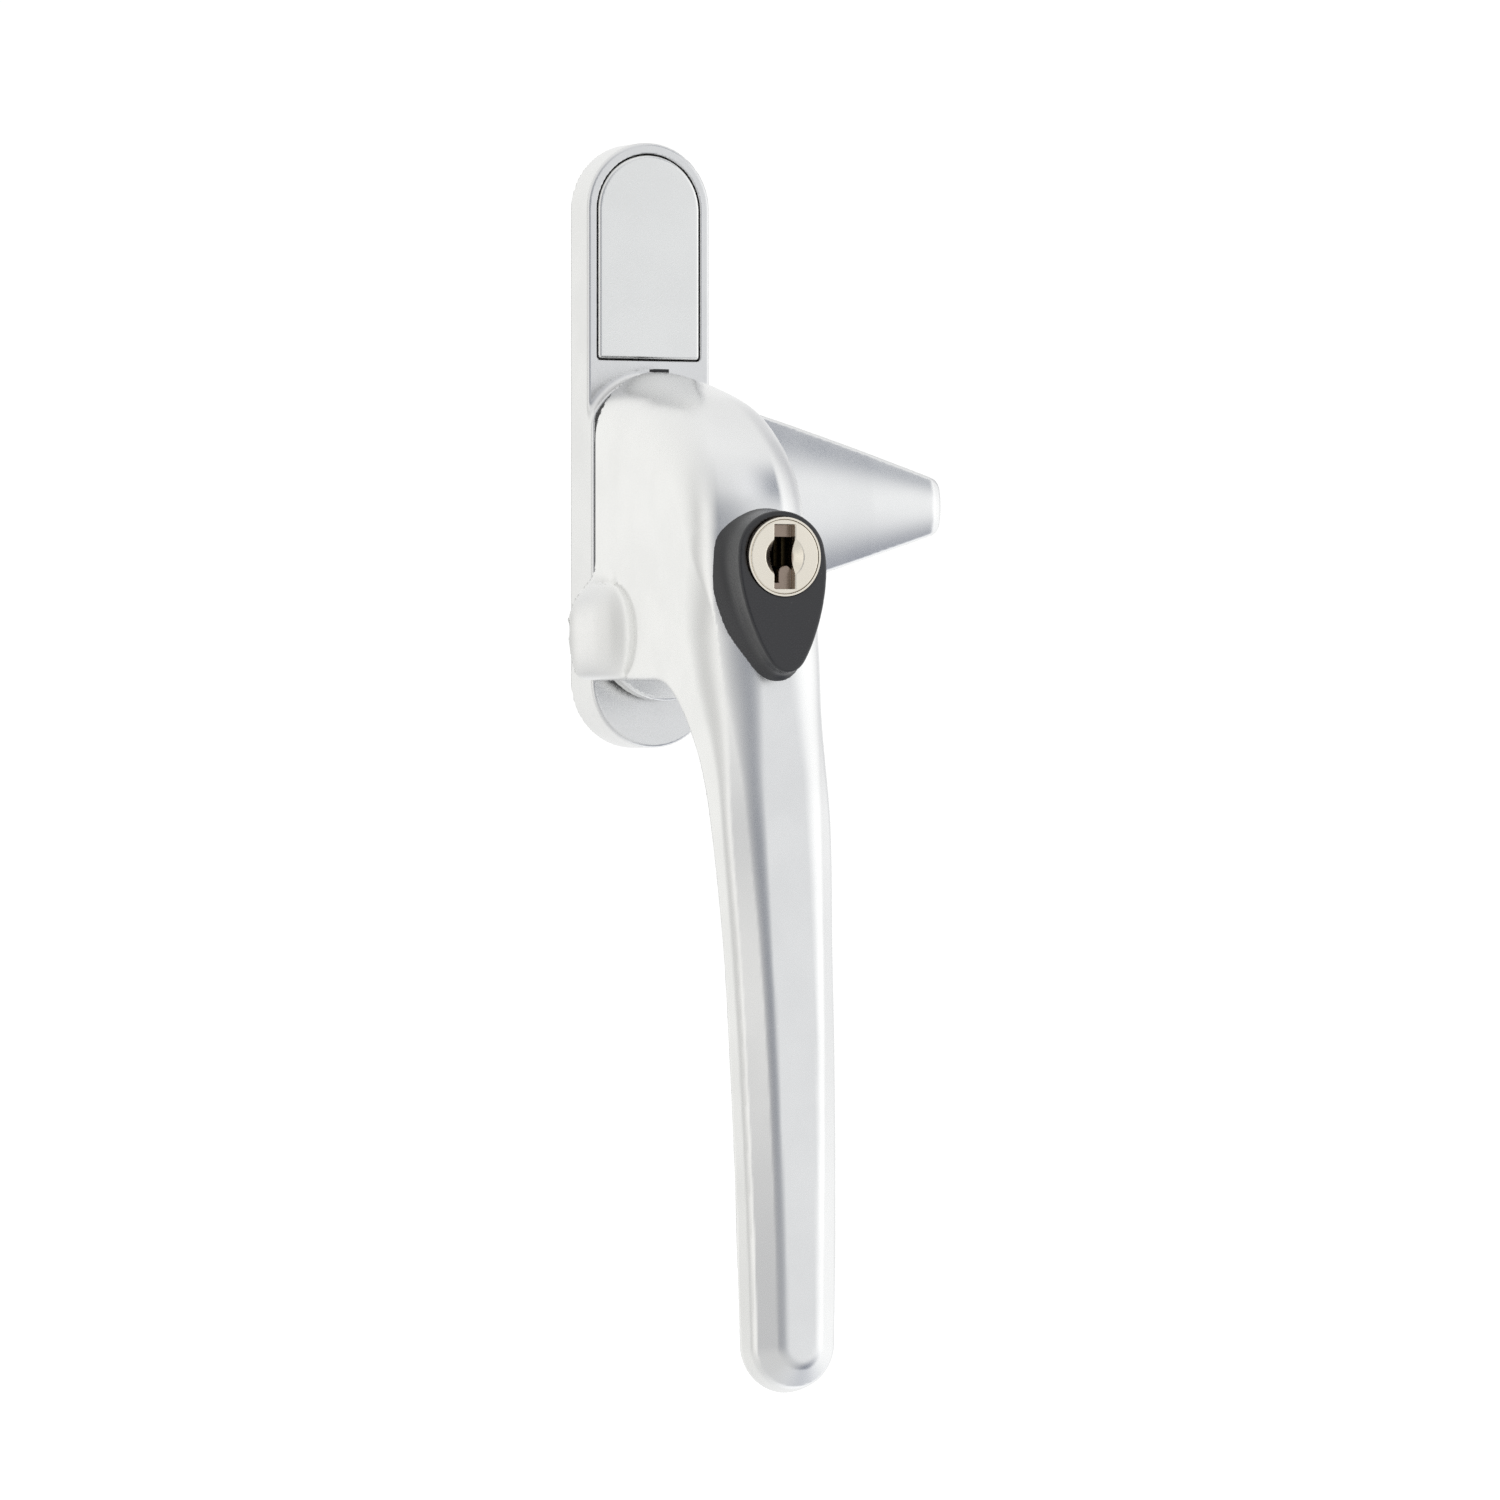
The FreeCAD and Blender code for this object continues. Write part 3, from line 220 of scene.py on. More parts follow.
def settle(field, points, cell, times=1):
    """Moves the points onto the surface."""
    for _ in range(times):
        value = field(*points.T)
        lean = slope(field, points, 0.04)
        move = value[:, None] * lean / np.maximum((lean ** 2).sum(1), 0.2)[:, None]
        points = points - np.clip(move, -0.5 * cell, 0.5 * cell)
    return points


def relax(field, points, quads, cell):
    """Evens out the quads without leaving the surface."""
    total, hits = np.zeros_like(points), np.zeros(len(points))
    for n in range(4):
        a, b = quads[:, n], quads[:, (n + 1) % 4]
        for p, q in ((a, b), (b, a)):
            hits += np.bincount(p, minlength=len(points))
            for axis in range(3):
                total[:, axis] += np.bincount(p, points[q, axis], len(points))
    shift = total / hits[:, None] - points
    normal = slope(field, points, 0.04)
    normal /= np.linalg.norm(normal, axis=1)[:, None] + 1e-9
    shift -= (shift * normal).sum(1)[:, None] * normal
    return settle(field, points + 0.6 * shift, cell)


def skin(name, field, low, high, cell, material, body):
    """A mesh object wrapped round a field. low and high are (x, out, z) in millimetres."""
    cell *= COARSE
    points, quads = wrap(field, low, high, cell)
    points = settle(field, points, cell, 2)
    points = relax(field, points, quads, cell)
    points = settle(field, relax(field, points, quads, cell), cell)
    normals = slope(field, points, 0.02)
    normals /= np.linalg.norm(normals, axis=1)[:, None] + 1e-9
    normals[:, 1] *= -1
    points[:, 1] *= -1
    mesh = bpy.data.meshes.new(name)
    mesh.from_pydata((points * MM).tolist(), [], quads.tolist())
    mesh.polygons.foreach_set("use_smooth", np.ones(len(quads), bool))
    mesh.update()
    mesh.normals_split_custom_set_from_vertices(normals.tolist())
    mesh.materials.append(material)
    thing = bpy.data.objects.new(name, mesh)
    bpy.context.scene.collection.objects.link(thing)
    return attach(thing, body)


# ---------------------------------------------------------------- materials
class Shader:
    """A new node material with one Principled shader, and short ways to add nodes to it."""

    def __init__(self, name, color, metallic, roughness):
        self.material = bpy.data.materials.new(name)
        self.material.use_nodes = True
        self.nodes = self.material.node_tree.nodes
        self.links = self.material.node_tree.links
        self.shader = self.nodes["Principled BSDF"]
        self.shader.inputs["Metallic"].default_value = metallic
        self.color, self.roughness = color, roughness
        self.place = self.nodes.new("ShaderNodeTexCoord").outputs["Object"]

    def stretch(self, scale):
        """The object's coordinates, scaled on each axis."""
        node = self.nodes.new("ShaderNodeMapping")
        node.inputs["Scale"].default_value = scale
        self.links.new(self.place, node.inputs["Vector"])
        return node.outputs["Vector"]

    def noise(self, per_mm, detail=3.0, vector=None):
        """Smooth random values, with so many features in a millimetre."""
        node = self.nodes.new("ShaderNodeTexNoise")
        node.inputs["Scale"].default_value = per_mm / MM
        node.inputs["Detail"].default_value = detail
        node.inputs["Roughness"].default_value = 0.55
        self.links.new(self.place if vector is None else vector, node.inputs["Vector"])
        return node.outputs["Fac"]

    def dots(self, per_mm, size):
        """Small scattered spots: 1 in a spot, 0 elsewhere."""
        node = self.nodes.new("ShaderNodeTexVoronoi")
        node.inputs["Scale"].default_value = per_mm / MM
        self.links.new(self.place, node.inputs["Vector"])
        return self.span(node.outputs["Distance"], size, size * 0.4, 0.0, 1.0)

    def span(self, value, low, high, to_low, to_high):
        """Maps low..high smoothly to to_low..to_high, held at its ends."""
        node = self.nodes.new("ShaderNodeMapRange")
        node.interpolation_type = "SMOOTHSTEP"
        for socket, number in zip(("From Min", "From Max", "To Min", "To Max"),
                                  (low, high, to_low, to_high)):
            node.inputs[socket].default_value = number
        self.links.new(value, node.inputs["Value"])
        return node.outputs["Result"]

    def math(self, kind, a, b):
        """A sum or product of two values, each a number or a socket."""
        node = self.nodes.new("ShaderNodeMath")
        node.operation = kind
        for socket, value in zip(node.inputs, (a, b)):
            if isinstance(value, (int, float)):
                socket.default_value = value
            else:
                self.links.new(value, socket)
        return node.outputs[0]

    def tint(self, factor, other):
        """Mixes the base colour towards another colour."""
        node = self.nodes.new("ShaderNodeMix")
        node.data_type = "RGBA"
        self.links.new(factor, node.inputs["Factor"])
        current = self.color
        if isinstance(current, tuple):
            node.inputs["A"].default_value = (*current, 1)
        else:
            self.links.new(current, node.inputs["A"])
        node.inputs["B"].default_value = (*other, 1)
        self.color = node.outputs["Result"]

    def bump(self, height, depth_mm):
        """Fine relief from a height between 0 and 1."""
        node = self.nodes.new("ShaderNodeBump")
        node.inputs["Distance"].default_value = depth_mm * MM
        node.inputs["Strength"].default_value = 1.0
        self.links.new(height, node.inputs["Height"])
        self.links.new(node.outputs["Normal"], self.shader.inputs["Normal"])

    def done(self):
        """Connects the colour and the roughness and gives the material."""
        for value, socket in ((self.color, "Base Color"), (self.roughness, "Roughness")):
            if isinstance(value, tuple):
                self.shader.inputs[socket].default_value = (*value, 1)
            elif isinstance(value, float):
                self.shader.inputs[socket].default_value = value
            else:
                self.links.new(value, self.shader.inputs[socket])
        return self.material


def satin_metal(name, color, roughness, grain=0.0022, speckle=0.10, brush=None, shade=None):
    """Plated metal: fine blasted grain, faint clouds, specks, and lines where it is brushed.

    shade darkens deep places. Each row is the distance in front of the mounting plane where
    it starts, where it is complete, its colour, and whether it is on the left half only.
    """
    s = Shader(name, color, 1.0, roughness)
    clouds = s.noise(0.09, 4.0)
    fine = s.noise(5.5, 2.0)
    s.tint(s.span(clouds, 0.35, 0.7, 0.0, 0.55), tuple(c * 0.955 for c in color))
    s.tint(s.math("MULTIPLY", s.dots(0.42, 0.075), speckle), (0.45, 0.46, 0.48))
    s.roughness = s.math("ADD", s.span(clouds, 0.3, 0.7, roughness - 0.02, roughness + 0.03),
                         s.span(fine, 0.3, 0.7, -0.03, 0.03))
    height = fine
    if brush:
        lines = s.noise(1.0, 3.0, s.stretch(brush))
        s.tint(s.span(lines, 0.35, 0.7, 0.0, 0.8), tuple(c * 0.9 for c in color))
        height = s.math("ADD", s.math("MULTIPLY", lines, 2.0), fine)
    # painted shade: each row darkens the colour with depth in front of the mounting plane
    if shade:
        split = s.nodes.new("ShaderNodeSeparateXYZ")
        s.links.new(s.place, split.inputs[0])
        for start, end, painted_shade_colour, left_only in shade:
            fade = s.span(split.outputs["Y"], -start * MM, -end * MM, 0.0, 1.0)
            if left_only:
                left = s.span(split.outputs["X"], -2.4 * MM, 0.0, 1.0, 0.0)
                fade = s.math("MULTIPLY", fade, left)
            s.tint(fade, painted_shade_colour)
    s.bump(height, grain)
    return s.done()


def moulded(name, color, roughness, grain=0.01, per_mm=3.0):
    """Moulded plastic with a fine satin texture and slightly polished patches."""
    s = Shader(name, color, 0.0, roughness)
    s.shader.inputs["IOR"].default_value = 1.56
    fine, broad = s.noise(per_mm, 3.0), s.noise(0.15, 3.0)
    s.tint(s.span(broad, 0.35, 0.7, 0.0, 0.5), tuple(c * 1.25 for c in color))
    s.tint(s.math("MULTIPLY", s.dots(0.6, 0.06), 0.5), (0.16, 0.16, 0.16))
    s.roughness = s.math("ADD", s.span(broad, 0.3, 0.7, roughness - 0.04, roughness + 0.04),
                         s.span(fine, 0.3, 0.7, -0.05, 0.05))
    s.bump(fine, grain)
    return s.done()


# ---------------------------------------------------------------- handle casting
# the side profile, as (out, z); it runs on below the grip, where the round end cuts it
SIDE = Outline([
    (0, -22.3), (8, -22.3), (16, -22.3), (24, -22.3), (30.5, -22.4), (35, -23.5),
    (38.8, -26.2), (42.2, -30.2), (45.2, -35), (48.1, -43), (50.2, -53), (52, -66),
    (53.3, -80), (54.4, -95), (55, -110), (55.3, -122), (55.4, -134), (55.5, -140),
    (61.9, -140), (61.9, -132), (61.85, -120), (61.7, -108), (61.15, -92), (60.3, -77),
    (59.15, -64), (57.8, -52), (56.3, -41), (54.7, -31.6), (53.1, -22.3), (51.6, -13),
    (50.4, -5), (49.9, 1), (48.6, 6.4), (45.8, 11.6), (41, 16.2), (33.5, 20.6),
    (23, 23.5), (13.1, 25.4), (5, 26.3), (0, 26.8)])
# how far out the front face is at each height
FRONT = curve([(-140, 61.9), (-132, 61.9), (-120, 61.85), (-108, 61.7), (-92, 61.15),
               (-77, 60.3), (-64, 59.15), (-52, 57.8), (-41, 56.3), (-31.6, 54.7),
               (-22.3, 53.1), (-13, 51.6), (-5, 50.4), (1, 49.9), (12, 49.5)], 2.0)
# half width where the side walls end in front, and how much it grows towards the back
HALF = curve([(-131.5, 6.65), (-109, 7.1), (-80, 7.85), (-63, 8.3), (-52, 8.8), (-44, 9.1),
              (-36, 9.0), (-29, 9.4), (-22, 10.3), (-15, 10.8), (-8, 10.9), (20, 10.9)], 2.5)
DRAFT = curve([(-131.5, 0.25), (-109, 0.25), (-80, 0.16), (-63, 0.11), (-44, 0.05),
               (-34.7, 0.09), (-25, 0.05), (-15, 0.0), (20, 0.0)], 3.0)
# half width of the flat front facet, the depth of the bevel beside it, its softness
FACET = curve([(-131.5, 2.9), (-109, 3.3), (-90, 3.85), (-63, 4.6), (-34.7, 5.2), (-22, 5.6),
               (-10, 6.4), (0, 7.2), (10, 8.5)], 3.0)
BEVEL = curve([(-131.5, 2.5), (-109, 2.65), (-80, 3.1), (-63, 3.3), (-44, 3.0), (-34.7, 3.1),
               (-24, 4.4), (-12, 5.2), (0, 5.4), (10, 5.0)], 3.0)
EDGE = curve([(-131.5, 0.5), (-90, 0.6), (-60, 0.8), (-38, 1.05), (-25, 2.2), (-10, 3.0),
              (2, 3.5), (10, 3.6)], 3.0)
# edge radius of the dome at each distance out, and the thumb ear's relief across its width
# and along its height
TOP_LEFT = curve([(0, 10.6), (24, 10.5), (32, 9.4), (40, 6.6), (46, 4.0), (52, 2.8)], 2.0)
TOP_RIGHT = curve([(0, 10.6), (34, 10.6), (40, 10.5), (46, 10.2), (52, 9.2)], 2.0)
EAR_DEPTH = curve([(-0.6, 6.3), (0.0, 5.0), (0.093, 4.3), (0.258, 2.1), (0.457, 0.2),
                   (0.656, -1.05), (0.84, -1.05), (1.02, 0.0), (1.6, 0.0)], 0.05, 0.005)
EAR_HEIGHT = curve([(-24, 0.6), (-22.2, 0.72), (-21, 0.84), (-19.3, 0.93), (-17, 0.98),
                    (-14.6, 1.0), (-12, 0.96), (-9.9, 0.82), (-8, 0.48), (-6.4, 0.14),
                    (-5.0, 0.0), (0, 0.0)], 0.7)
EAR_CENTRE, EAR_RADIUS, EAR_FRONT = -14.9, 7.5, 17.3    # the arc of its front rim
GRIP_END = -122.75      # centre of the grip's round end


def ear(out, z):
    """How far the thumb ear and its scoop change the left wall."""
    bow = np.sqrt(np.maximum(EAR_RADIUS ** 2 - (z - EAR_CENTRE) ** 2, 0.5))
    rim = EAR_FRONT + bow
    return EAR_HEIGHT(z) * EAR_DEPTH((out - BASE_BACK) / (rim - BASE_BACK))


def edge_radius(x, out, z):
    """Radius between the side walls and the side profile."""
    front = ramp(out - FRONT(z) + 5.5, 0, 2.5)
    low = 1.2 + 0.9 * front
    left, right = TOP_LEFT(out), TOP_RIGHT(out)
    top = left + (right - left) * ramp(x, -5, 5)
    return low + (top - low) * ramp(z, -14, 3)


def base_outline(x, z):
    """The spur's round-ended base; the handle's skirt hides it above the flat underside."""
    return capsule(x, z, -14.6, 14.4, 10.9) + 1.4 * ramp(z, -22.2, -20.5)


def handle_surface(x, out, z):
    """The handle's outside, without its back and its bores."""
    across = np.hypot(x, np.minimum(z - GRIP_END, 0))
    draft = DRAFT(z) * np.clip(FRONT(z) - BEVEL(z) - out, 0, 7)
    wall = across - HALF(z) - draft - np.where(x < 0, ear(out, z), 0) * ramp(-x, 5, 9)
    crown = 0.02 * x ** 2 * ramp(z, -16, 2) * ramp(out, 25, 42)
    solid = meet(SIDE(out + crown, z), wall, edge_radius(x, out, z))
    flat, drop = FACET(z), BEVEL(z)
    run = HALF(z) - flat
    bevel = ((across - flat) * drop + (out - FRONT(z)) * run) / np.hypot(drop, run)
    return meet(solid, bevel - 0.075 * np.maximum(z + 16, 0) ** 1.4, EDGE(z))


def handle_shape(x, out, z):
    """The handle with its seat for the spur and the bores for the lock and the bolt."""
    skirt_end, seat_floor, gap = 10.15, 13.15, 0.05
    seat = np.minimum(seat_floor - out,
                      np.maximum(skirt_end - out, gap - base_outline(x, z)))
    solid = meet(handle_surface(x, out, z), seat, 0.15)
    solid = carve(solid, nose_shape(x, out, z) - 0.3, 0.15)
    barrel_seat, tail_end = 36.2, 24.0
    bores = np.where(out > barrel_seat, rod(x, z, LOCK_Z, 6.75),
                     np.maximum(rod(x, z, LOCK_Z, 4.8), tail_end - out))
    bolt = np.maximum(rod(x, z, BOLT_HEIGHT, BOLT_BORE), out - 41.5)
    return np.maximum(solid, -np.minimum(bores, bolt))


# ---------------------------------------------------------------- spur
NOSE_Z = 5.2            # height of the nose's middle line
NOSE_TIP = 47.0
# along x: half height of the nose, and how far out its edges and its middle line stand
NOSE_HALF = curve([(0, 18.2), (7, 16.3), (20, 12.6), (34, 8.3), (45, 4.7), (60, 0)], 1.0)
NOSE_EDGE = curve([(0, 5.6), (7, 5.5), (20, 5.3), (34, 4.9), (45.2, 4.5), (47, 3.6), (60, 0)],
                  0.25)
NOSE_CROWN = curve([(0, 9.8), (7, 9.4), (20, 8.2), (34, 6.9), (45.2, 5.6), (47, 4.5), (60, 0)],
                   0.25)


def nose_shape(x, out, z):
    """The tapering nose, crowned in front and flat behind."""
    high = NOSE_HALF(x)
    side = (np.abs(z - NOSE_Z) - high) * 0.955
    t = np.clip(np.abs(z - NOSE_Z) / high, 0, 1.3)
    front = BASE_BACK + NOSE_EDGE(x) + (NOSE_CROWN(x) - NOSE_EDGE(x)) * (1 - t ** 2)
    nose = meet(meet(side, x - NOSE_TIP, 1.3), (out - front) * 0.93, 0.6)
    return meet(meet(nose, BASE_BACK - out, 0.3), 6 - x, 0.1)


def spur_shape(x, out, z):
    """The nose on its base plate, with the bolt's hole."""
    base = meet(base_outline(x, z), slab(out, BASE_BACK, BASE_FRONT), 0.35)
    solid = merge(base, nose_shape(x, out, z), 0.4)
    return np.maximum(solid, -rod(x, z, BOLT_HEIGHT, BOLT_BORE))


# ---------------------------------------------------------------- backplate and cover
def dome(x, z, low, high, half, corner):
    """A D-shaped outline: straight foot, round top."""
    return meet(np.hypot(x, np.maximum(z - high, 0)) - half, low - z, corner)


def plate_shape(x, out, z):
    """The backplate: thick below, with the cover's pocket, the pivot, bolt and screw holes."""
    outline = capsule(x, z, PLATE_LOW, PLATE_HIGH, 10.46)
    thick_outline = np.hypot(x, np.maximum(z - 13.7, 0)) - 11.5
    front = merge(out - THIN_FRONT, meet(thick_outline, out - THICK_FRONT, 0.3), 1.0)
    solid = meet(meet(outline, front, 0.55), -out, 0.2)
    seat = np.maximum(dome(x, z, 27.7, COVER_CENTRE, 8.8, 0.5), COVER_SEAT - out)
    solid = carve(solid, seat, 0.18)
    pivot_bore, washer_recess = rod(x, z, 0, 4.05), rod(x, z, 0, 8.6)
    holes = np.minimum(pivot_bore, np.maximum(washer_recess, out - 4.6))
    holes = np.minimum(holes, np.maximum(rod(x, z, BOLT_HEIGHT, 2.9), 2.4 - out))
    for height, face in ((43.4, COVER_SEAT), (-20.6, THICK_FRONT)):
        countersunk = 2.2 + np.maximum(out - face + 2.0, 0) * 0.85
        holes = np.minimum(holes, rod(x, z, height, countersunk))
    return carve(solid, holes, 0.12)


def cap_shape(x, out, z):
    """The snap-in cover: a thin crown and four legs in the pocket's corners."""
    outline = dome(x, z, 27.85, COVER_CENTRE, 8.65, 0.5)
    sheet = meet(meet(outline, out - 6.75, 0.55), 5.0 - out, 0.1)
    legs = 9.0
    for across, height in ((6.4, 30.6), (5.1, 52.6)):
        legs = np.minimum(legs, rod(np.abs(x) - across, z, height, 0.8))
    return np.minimum(sheet, np.maximum(legs, slab(out, COVER_SEAT, 5.5)))


# ---------------------------------------------------------------- shroud
TEARDROP = Outline([
    (0, 3.1), (2.8, 2.6), (5.2, 1.1), (6.75, -1.1), (7.3, -3.9), (7.25, -6.8), (6.75, -10),
    (5.95, -13), (5.0, -15.6), (3.95, -17.9), (2.6, -20.1), (1.35, -21.1), (0, -21.4),
    (-1.35, -21.1), (-2.6, -20.1), (-3.95, -17.9), (-5.0, -15.6), (-5.95, -13), (-6.75, -10),
    (-7.25, -6.8), (-7.3, -3.9), (-6.75, -1.1), (-5.2, 1.1), (-2.8, 2.6)], 0.25, 4.0)


def shroud_shape(x, out, z):
    """The shroud: a tilted face, and walls that flare where they come down on the handle."""
    face = 55.3 - 0.115 * (z - LOCK_Z)
    above = handle_surface(x, out, z)
    flare_height, sunk = 4.6, 0.8
    near = np.clip(1 - above / flare_height, 0, 1)
    spread = 1.3 - 0.35 * ramp(z, -10, -4) - 0.6 * ramp(z, -1.5, 3.0) - 0.35 * ramp(-z, 15, 20)
    flare = (0.05 * near + 1.35 * near ** 4) * spread
    wall = (TEARDROP(x, z) - flare) * 0.9
    solid = meet(wall, (out - face) * 0.99, 0.4)
    solid = np.maximum(solid, -sunk - above)
    return carve(solid, rod(x, z, LOCK_Z, 6.05), 0.2)


# ---------------------------------------------------------------- key plug
def plug_shape(x, out, z):
    """The plug: its head, barrel and flatted tail, a countersink and a stepped keyway."""
    height = z - LOCK_Z
    head = meet(rod(x, z, LOCK_Z, 5.65), slab(out, 54.55, PLUG_FACE), 0.18)
    barrel = np.maximum(rod(x, z, LOCK_Z, 5.2), slab(out, 36.9, 54.6))
    flats = np.where(out < 36.3, np.abs(x) - 1.9, -5.0)
    tail = np.maximum(np.maximum(rod(x, z, LOCK_Z, 2.5), slab(out, 24.2, 37.0)), flats)
    solid = np.minimum(np.minimum(head, barrel), tail)
    countersink = (np.hypot(x, height) + (PLUG_FACE - out) - 3.2) * 0.7
    solid = carve(solid, countersink, 0.05)
    slot_half = 1.7
    slot = np.maximum(np.maximum(np.abs(x) - slot_half, np.abs(height) - 4.85),
                      KEYWAY_FLOOR - out)
    inner = np.maximum(np.abs(x) - slot_half, np.maximum(height - 3.0, -3.9 - height))
    ward = meet(np.hypot(x - 0.75, np.maximum(height + 2.4, 0)) - 1.1, out - 54.7, 0.12)
    inner = np.maximum(np.maximum(inner, 38.5 - out), -ward)
    return carve(carve(solid, slot, 0.1), inner, 0.06)


# ---------------------------------------------------------------- build
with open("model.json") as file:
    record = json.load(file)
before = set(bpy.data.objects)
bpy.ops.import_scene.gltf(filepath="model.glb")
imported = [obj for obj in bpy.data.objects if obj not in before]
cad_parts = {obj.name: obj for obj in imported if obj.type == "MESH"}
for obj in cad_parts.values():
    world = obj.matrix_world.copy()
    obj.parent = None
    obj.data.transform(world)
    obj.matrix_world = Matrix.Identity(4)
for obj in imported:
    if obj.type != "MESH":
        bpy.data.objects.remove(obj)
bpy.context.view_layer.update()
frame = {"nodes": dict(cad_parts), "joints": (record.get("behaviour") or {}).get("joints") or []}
LOCK_Z = next(j["pos_m"][2] for j in frame["joints"] if j["name"] == "key_turn") / MM

chrome = satin_metal("satin_chrome", (0.90, 0.90, 0.89), 0.27)
plate_chrome = satin_metal("plate_chrome", (0.84, 0.84, 0.835), 0.28)
brushed = satin_metal("brushed_chrome", (0.95, 0.95, 0.93), 0.27, 0.0016, 0.12,
                      brush=(0.15 / MM, 1 / MM, 5 / MM))
plated = satin_metal("bright_zinc", (0.80, 0.81, 0.83), 0.28, 0.003)
spring = satin_metal("spring_steel", (0.38, 0.39, 0.41), 0.33, 0.003)
# painted shade on the key plug: the countersink's left half, the keyway floor and its deep
# inside are darkened by depth
nickel = satin_metal("brushed_nickel", (0.95, 0.885, 0.765), 0.26, 0.0022, 0.1,
                     shade=((55.95, 55.5, (0.55, 0.47, 0.40), True),
                            (54.95, 54.6, (0.34, 0.27, 0.22), False),
                            (54.3, 53.0, (0.03, 0.025, 0.02), False)))
brass = satin_metal("oiled_brass", (0.34, 0.26, 0.13), 0.35, 0.003)
nylon = moulded("black_nylon", (0.012, 0.012, 0.013), 0.5)
satin_black = moulded("satin_black", (0.018, 0.018, 0.020), 0.27, 0.005, 4.0)

finish = {
    "backplate": plate_chrome, "cover_cap": brushed, "fixing_screws": plated,
    "nylon_washer": nylon, "pivot_spindle": plated, "retaining_clip": spring,
    "thrust_washer": plated, "disc_spring": spring, "spur": chrome,
    "spur_screws": plated, "handle": chrome, "lock_shroud": satin_black,
    "lock_cylinder": nickel, "lock_screw": plated, "key_plug": nickel, "wafers": brass,
    "wafer_springs": spring, "cam_sleeve": plated, "cam_clip": spring, "locking_bolt": plated,
}
for node, material in finish.items():
    thing = frame["nodes"][node]
    thing.data.materials.clear()
    thing.data.materials.append(material)

PIECES = (
    # name, CAD node, body, slot, field, size of a cell, room round the CAD node's box
    ("handle_casting", "handle", "handle", "satin_chrome", handle_shape, 0.5, 1.0),
    ("spur_casting", "spur", "handle", "satin_chrome", spur_shape, 0.45, 1.0),
    ("plate_casting", "backplate", "backplate", "satin_chrome", plate_shape, 0.4, 1.0),
    ("screw_cover", "cover_cap", "backplate", "satin_chrome", cap_shape, 0.28, 1.0),
    ("teardrop_shroud", "lock_shroud", "handle", "black_plastic", shroud_shape, 0.28, 3.5),
    ("plug_casting", "key_plug", "key_plug", "nickel", plug_shape, 0.16, 0.5),
)


def box_round(node, room):
    """A CAD node's box with some room, as two corners (x, out, z) in millimetres."""
    low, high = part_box(node)
    return ((low.x / MM - room, -high.y / MM - room, low.z / MM - room),
            (high.x / MM + room, -low.y / MM + room, high.z / MM + room))


for name, node, body, slot, field, cell, room in PIECES:
    piece = skin(name, field, *box_round(node, room), cell, finish[node], body)
    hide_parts(node)


# ---------------------------------------------------------------- floor, light and camera
def make_floor():
    """A pale round floor, well below the object, which hangs as on a window."""
    radius, height, sides = 3.2, -0.30, 96
    mesh = bpy.data.meshes.new("studio_floor")
    ring = [(radius * math.cos(a), radius * math.sin(a), height)
            for a in np.linspace(0, 2 * math.pi, sides, endpoint=False)]
    mesh.from_pydata(ring, [], [list(range(sides))])
    floor = bpy.data.objects.new("studio_floor", mesh)
    bpy.context.scene.collection.objects.link(floor)
    s = Shader("pale_floor", (0.92, 0.92, 0.92), 0.0, 0.9)
    s.tint(s.span(s.noise(0.004, 2.0), 0.4, 0.6, 0.0, 1.0), (0.90, 0.90, 0.90))
    s.shader.inputs["Emission Color"].default_value = (1, 1, 1, 1)
    s.shader.inputs["Emission Strength"].default_value = 0.55
    mesh.materials.append(s.done())
    floor.visible_glossy = False


# soft lights round the object: direction, tightness, and the colour that each adds to the
# room's own light, or takes from it where it is negative
ROOM = (0.63, 0.635, 0.645)
LIGHTS = (
    ((-0.43, 0.90, 0.0), 2.2, (0.32, 0.315, 0.29)),
    ((0.43, 0.90, 0.0), 4.0, (0.25, 0.25, 0.25)),
    ((0.43, -0.90, 0.0), 8.0, (0.12, 0.125, 0.13)),
    ((0.93, -0.35, -0.03), 4.0, (0.58, 0.58, 0.58)),
    ((-0.95, -0.25, 0.0), 8.0, (0.36, 0.35, 0.33)),
    ((-0.97, 0.25, 0.0), 20.0, (-0.28, -0.28, -0.28)),
    ((-0.60, -0.80, 0.0), 30.0, (-0.22, -0.22, -0.21)),
    ((0.60, -0.80, 0.0), 30.0, (-0.10, -0.10, -0.10)),
    ((0.0, -0.1, 1.0), 3.0, (0.25, 0.25, 0.25)),
    ((0.43, 0.05, -0.9), 5.0, (0.48, 0.49, 0.51)),
    ((-0.15, -0.97, 0.2), 12.0, (-0.46, -0.45, -0.42)),
    ((0.58, -0.55, 0.60), 40.0, (-0.85, -0.83, -0.78)),
    ((0.0, 1.0, 0.0), 34.0, (-0.36, -0.36, -0.35)),
    ((1.0, 0.12, 0.0), 30.0, (-0.06, -0.06, -0.06)),
    ((0.80, 0.50, 0.32), 22.0, (-0.36, -0.36, -0.34)),
    ((0.25, -0.70, 0.66), 40.0, (0.22, 0.22, 0.23)),
    ((0.60, -0.45, -0.66), 12.0, (-0.85, -0.84, -0.80)),
)


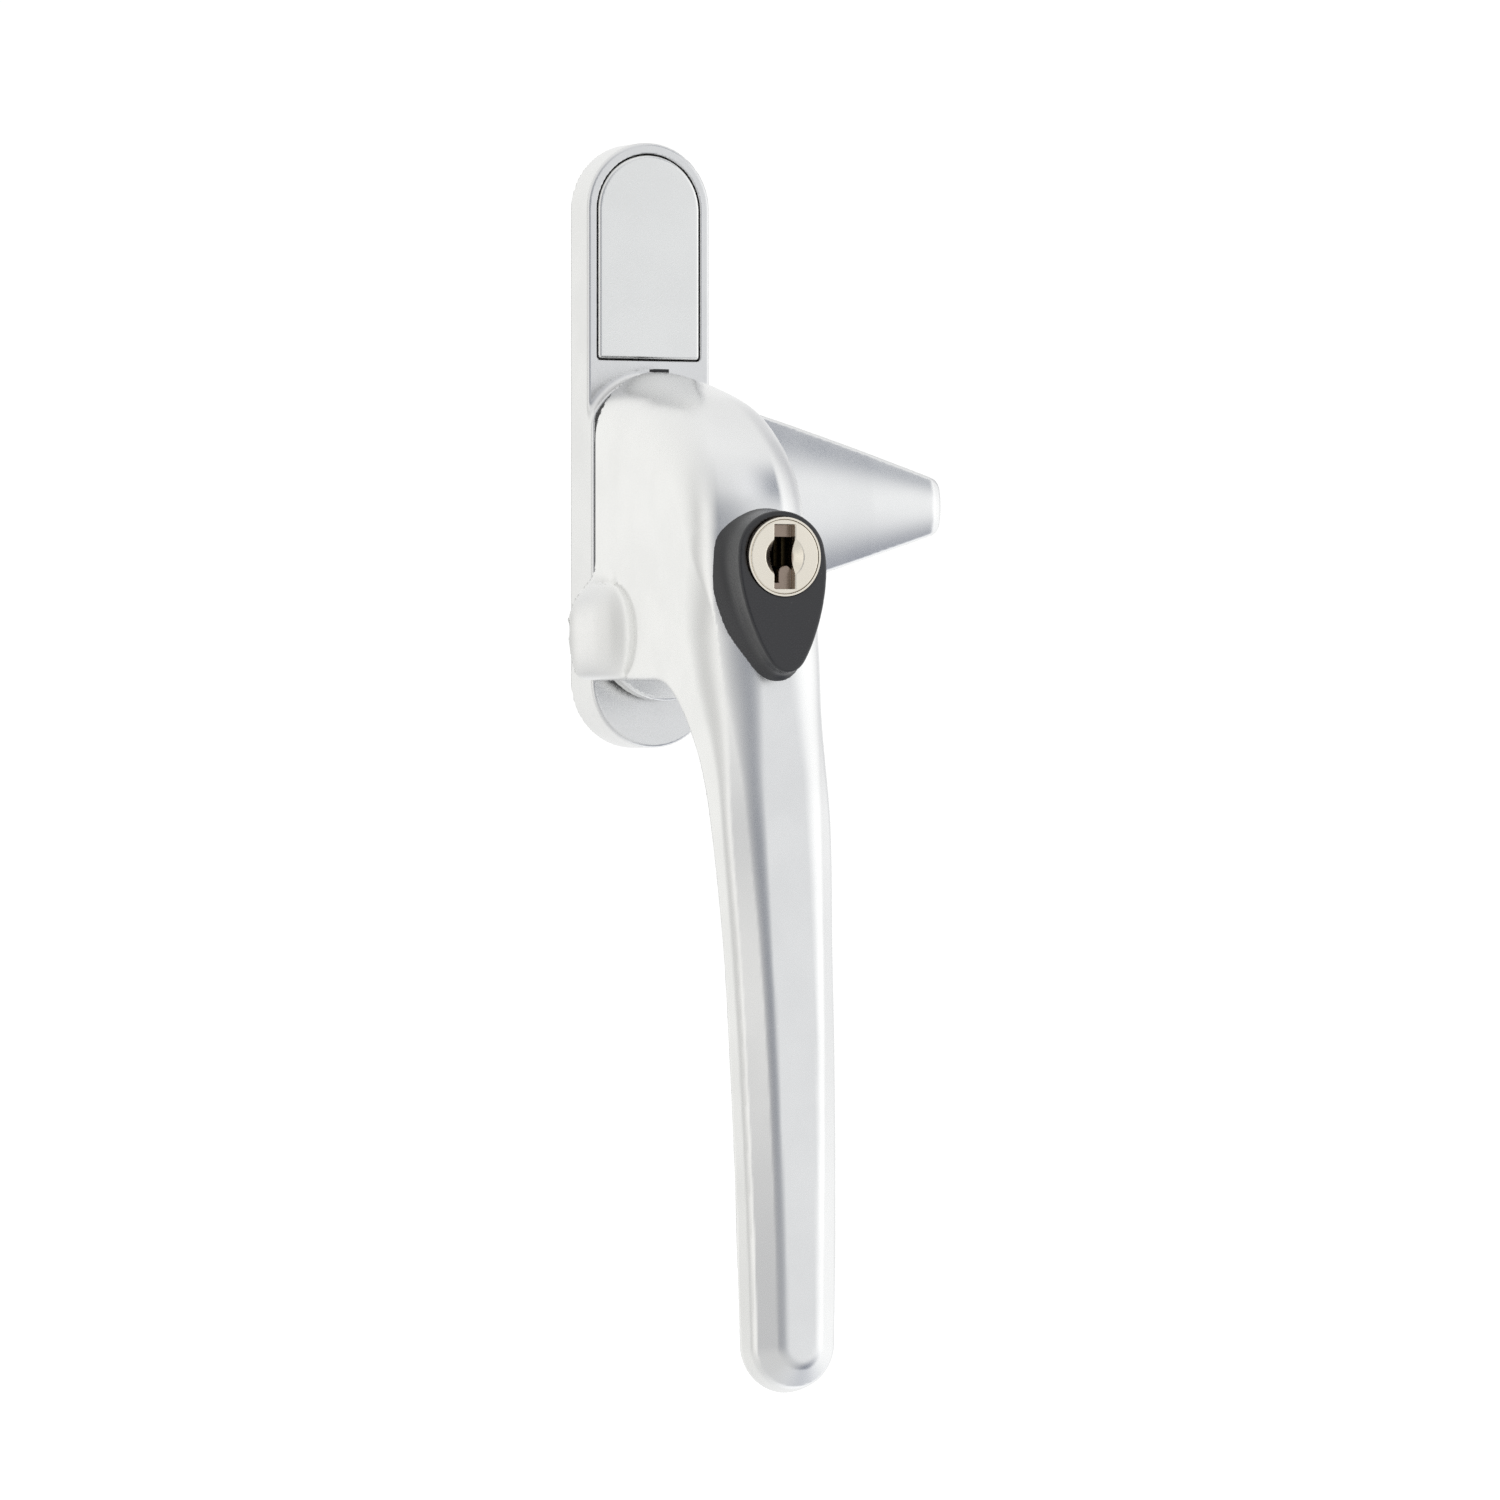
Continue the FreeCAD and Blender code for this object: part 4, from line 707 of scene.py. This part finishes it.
def make_room():
    """White behind the object, and soft lights of different brightness that fall on it."""
    world = bpy.data.worlds.new("studio")
    bpy.context.scene.world = world
    world.use_nodes = True
    nodes, links = world.node_tree.nodes, world.node_tree.links
    nodes.clear()
    direction = nodes.new("ShaderNodeTexCoord").outputs["Generated"]
    total = ROOM
    for toward, tight, color in LIGHTS:
        dot = nodes.new("ShaderNodeVectorMath")
        dot.operation = "DOT_PRODUCT"
        dot.inputs[1].default_value = Vector(toward).normalized()
        links.new(direction, dot.inputs[0])
        value = dot.outputs["Value"]
        for kind, number in (("SUBTRACT", 1.0), ("MULTIPLY", tight), ("EXPONENT", 0.0)):
            step = nodes.new("ShaderNodeMath")
            step.operation = kind
            step.inputs[1].default_value = number
            links.new(value, step.inputs[0])
            value = step.outputs[0]
        scale = nodes.new("ShaderNodeVectorMath")
        scale.operation = "MULTIPLY_ADD"
        scale.inputs[1].default_value = color
        links.new(value, scale.inputs[0])
        if isinstance(total, tuple):
            scale.inputs[2].default_value = total
        else:
            links.new(total, scale.inputs[2])
        total = scale.outputs["Vector"]
    soft = nodes.new("ShaderNodeBackground")
    links.new(total, soft.inputs["Color"])
    white = nodes.new("ShaderNodeBackground")
    white.inputs["Color"].default_value = (1, 1, 0.995, 1)
    white.inputs["Strength"].default_value = 1.05
    seen = nodes.new("ShaderNodeLightPath").outputs["Is Camera Ray"]
    mix = nodes.new("ShaderNodeMixShader")
    links.new(seen, mix.inputs[0])
    links.new(soft.outputs[0], mix.inputs[1])
    links.new(white.outputs[0], mix.inputs[2])
    out = nodes.new("ShaderNodeOutputWorld")
    links.new(mix.outputs[0], out.inputs["Surface"])


def make_camera():
    """Level, from the left of straight on, far away as for a product picture."""
    aim = Vector((0.0174, -0.0066, -0.0331))
    distance, turn = 1.4, math.radians(-25.2)
    back = Vector((math.sin(turn), -math.cos(turn), 0))
    data = bpy.data.cameras.new("camera")
    data.sensor_width, data.lens, data.clip_end = 36.0, 214.2, 50.0
    camera = bpy.data.objects.new("camera", data)
    camera.location = aim + distance * back
    camera.rotation_euler = (math.radians(90), 0, turn)
    bpy.context.scene.collection.objects.link(camera)
    bpy.context.scene.camera = camera


make_floor()
make_room()
make_camera()
bpy.context.scene.view_settings.view_transform = "Standard"
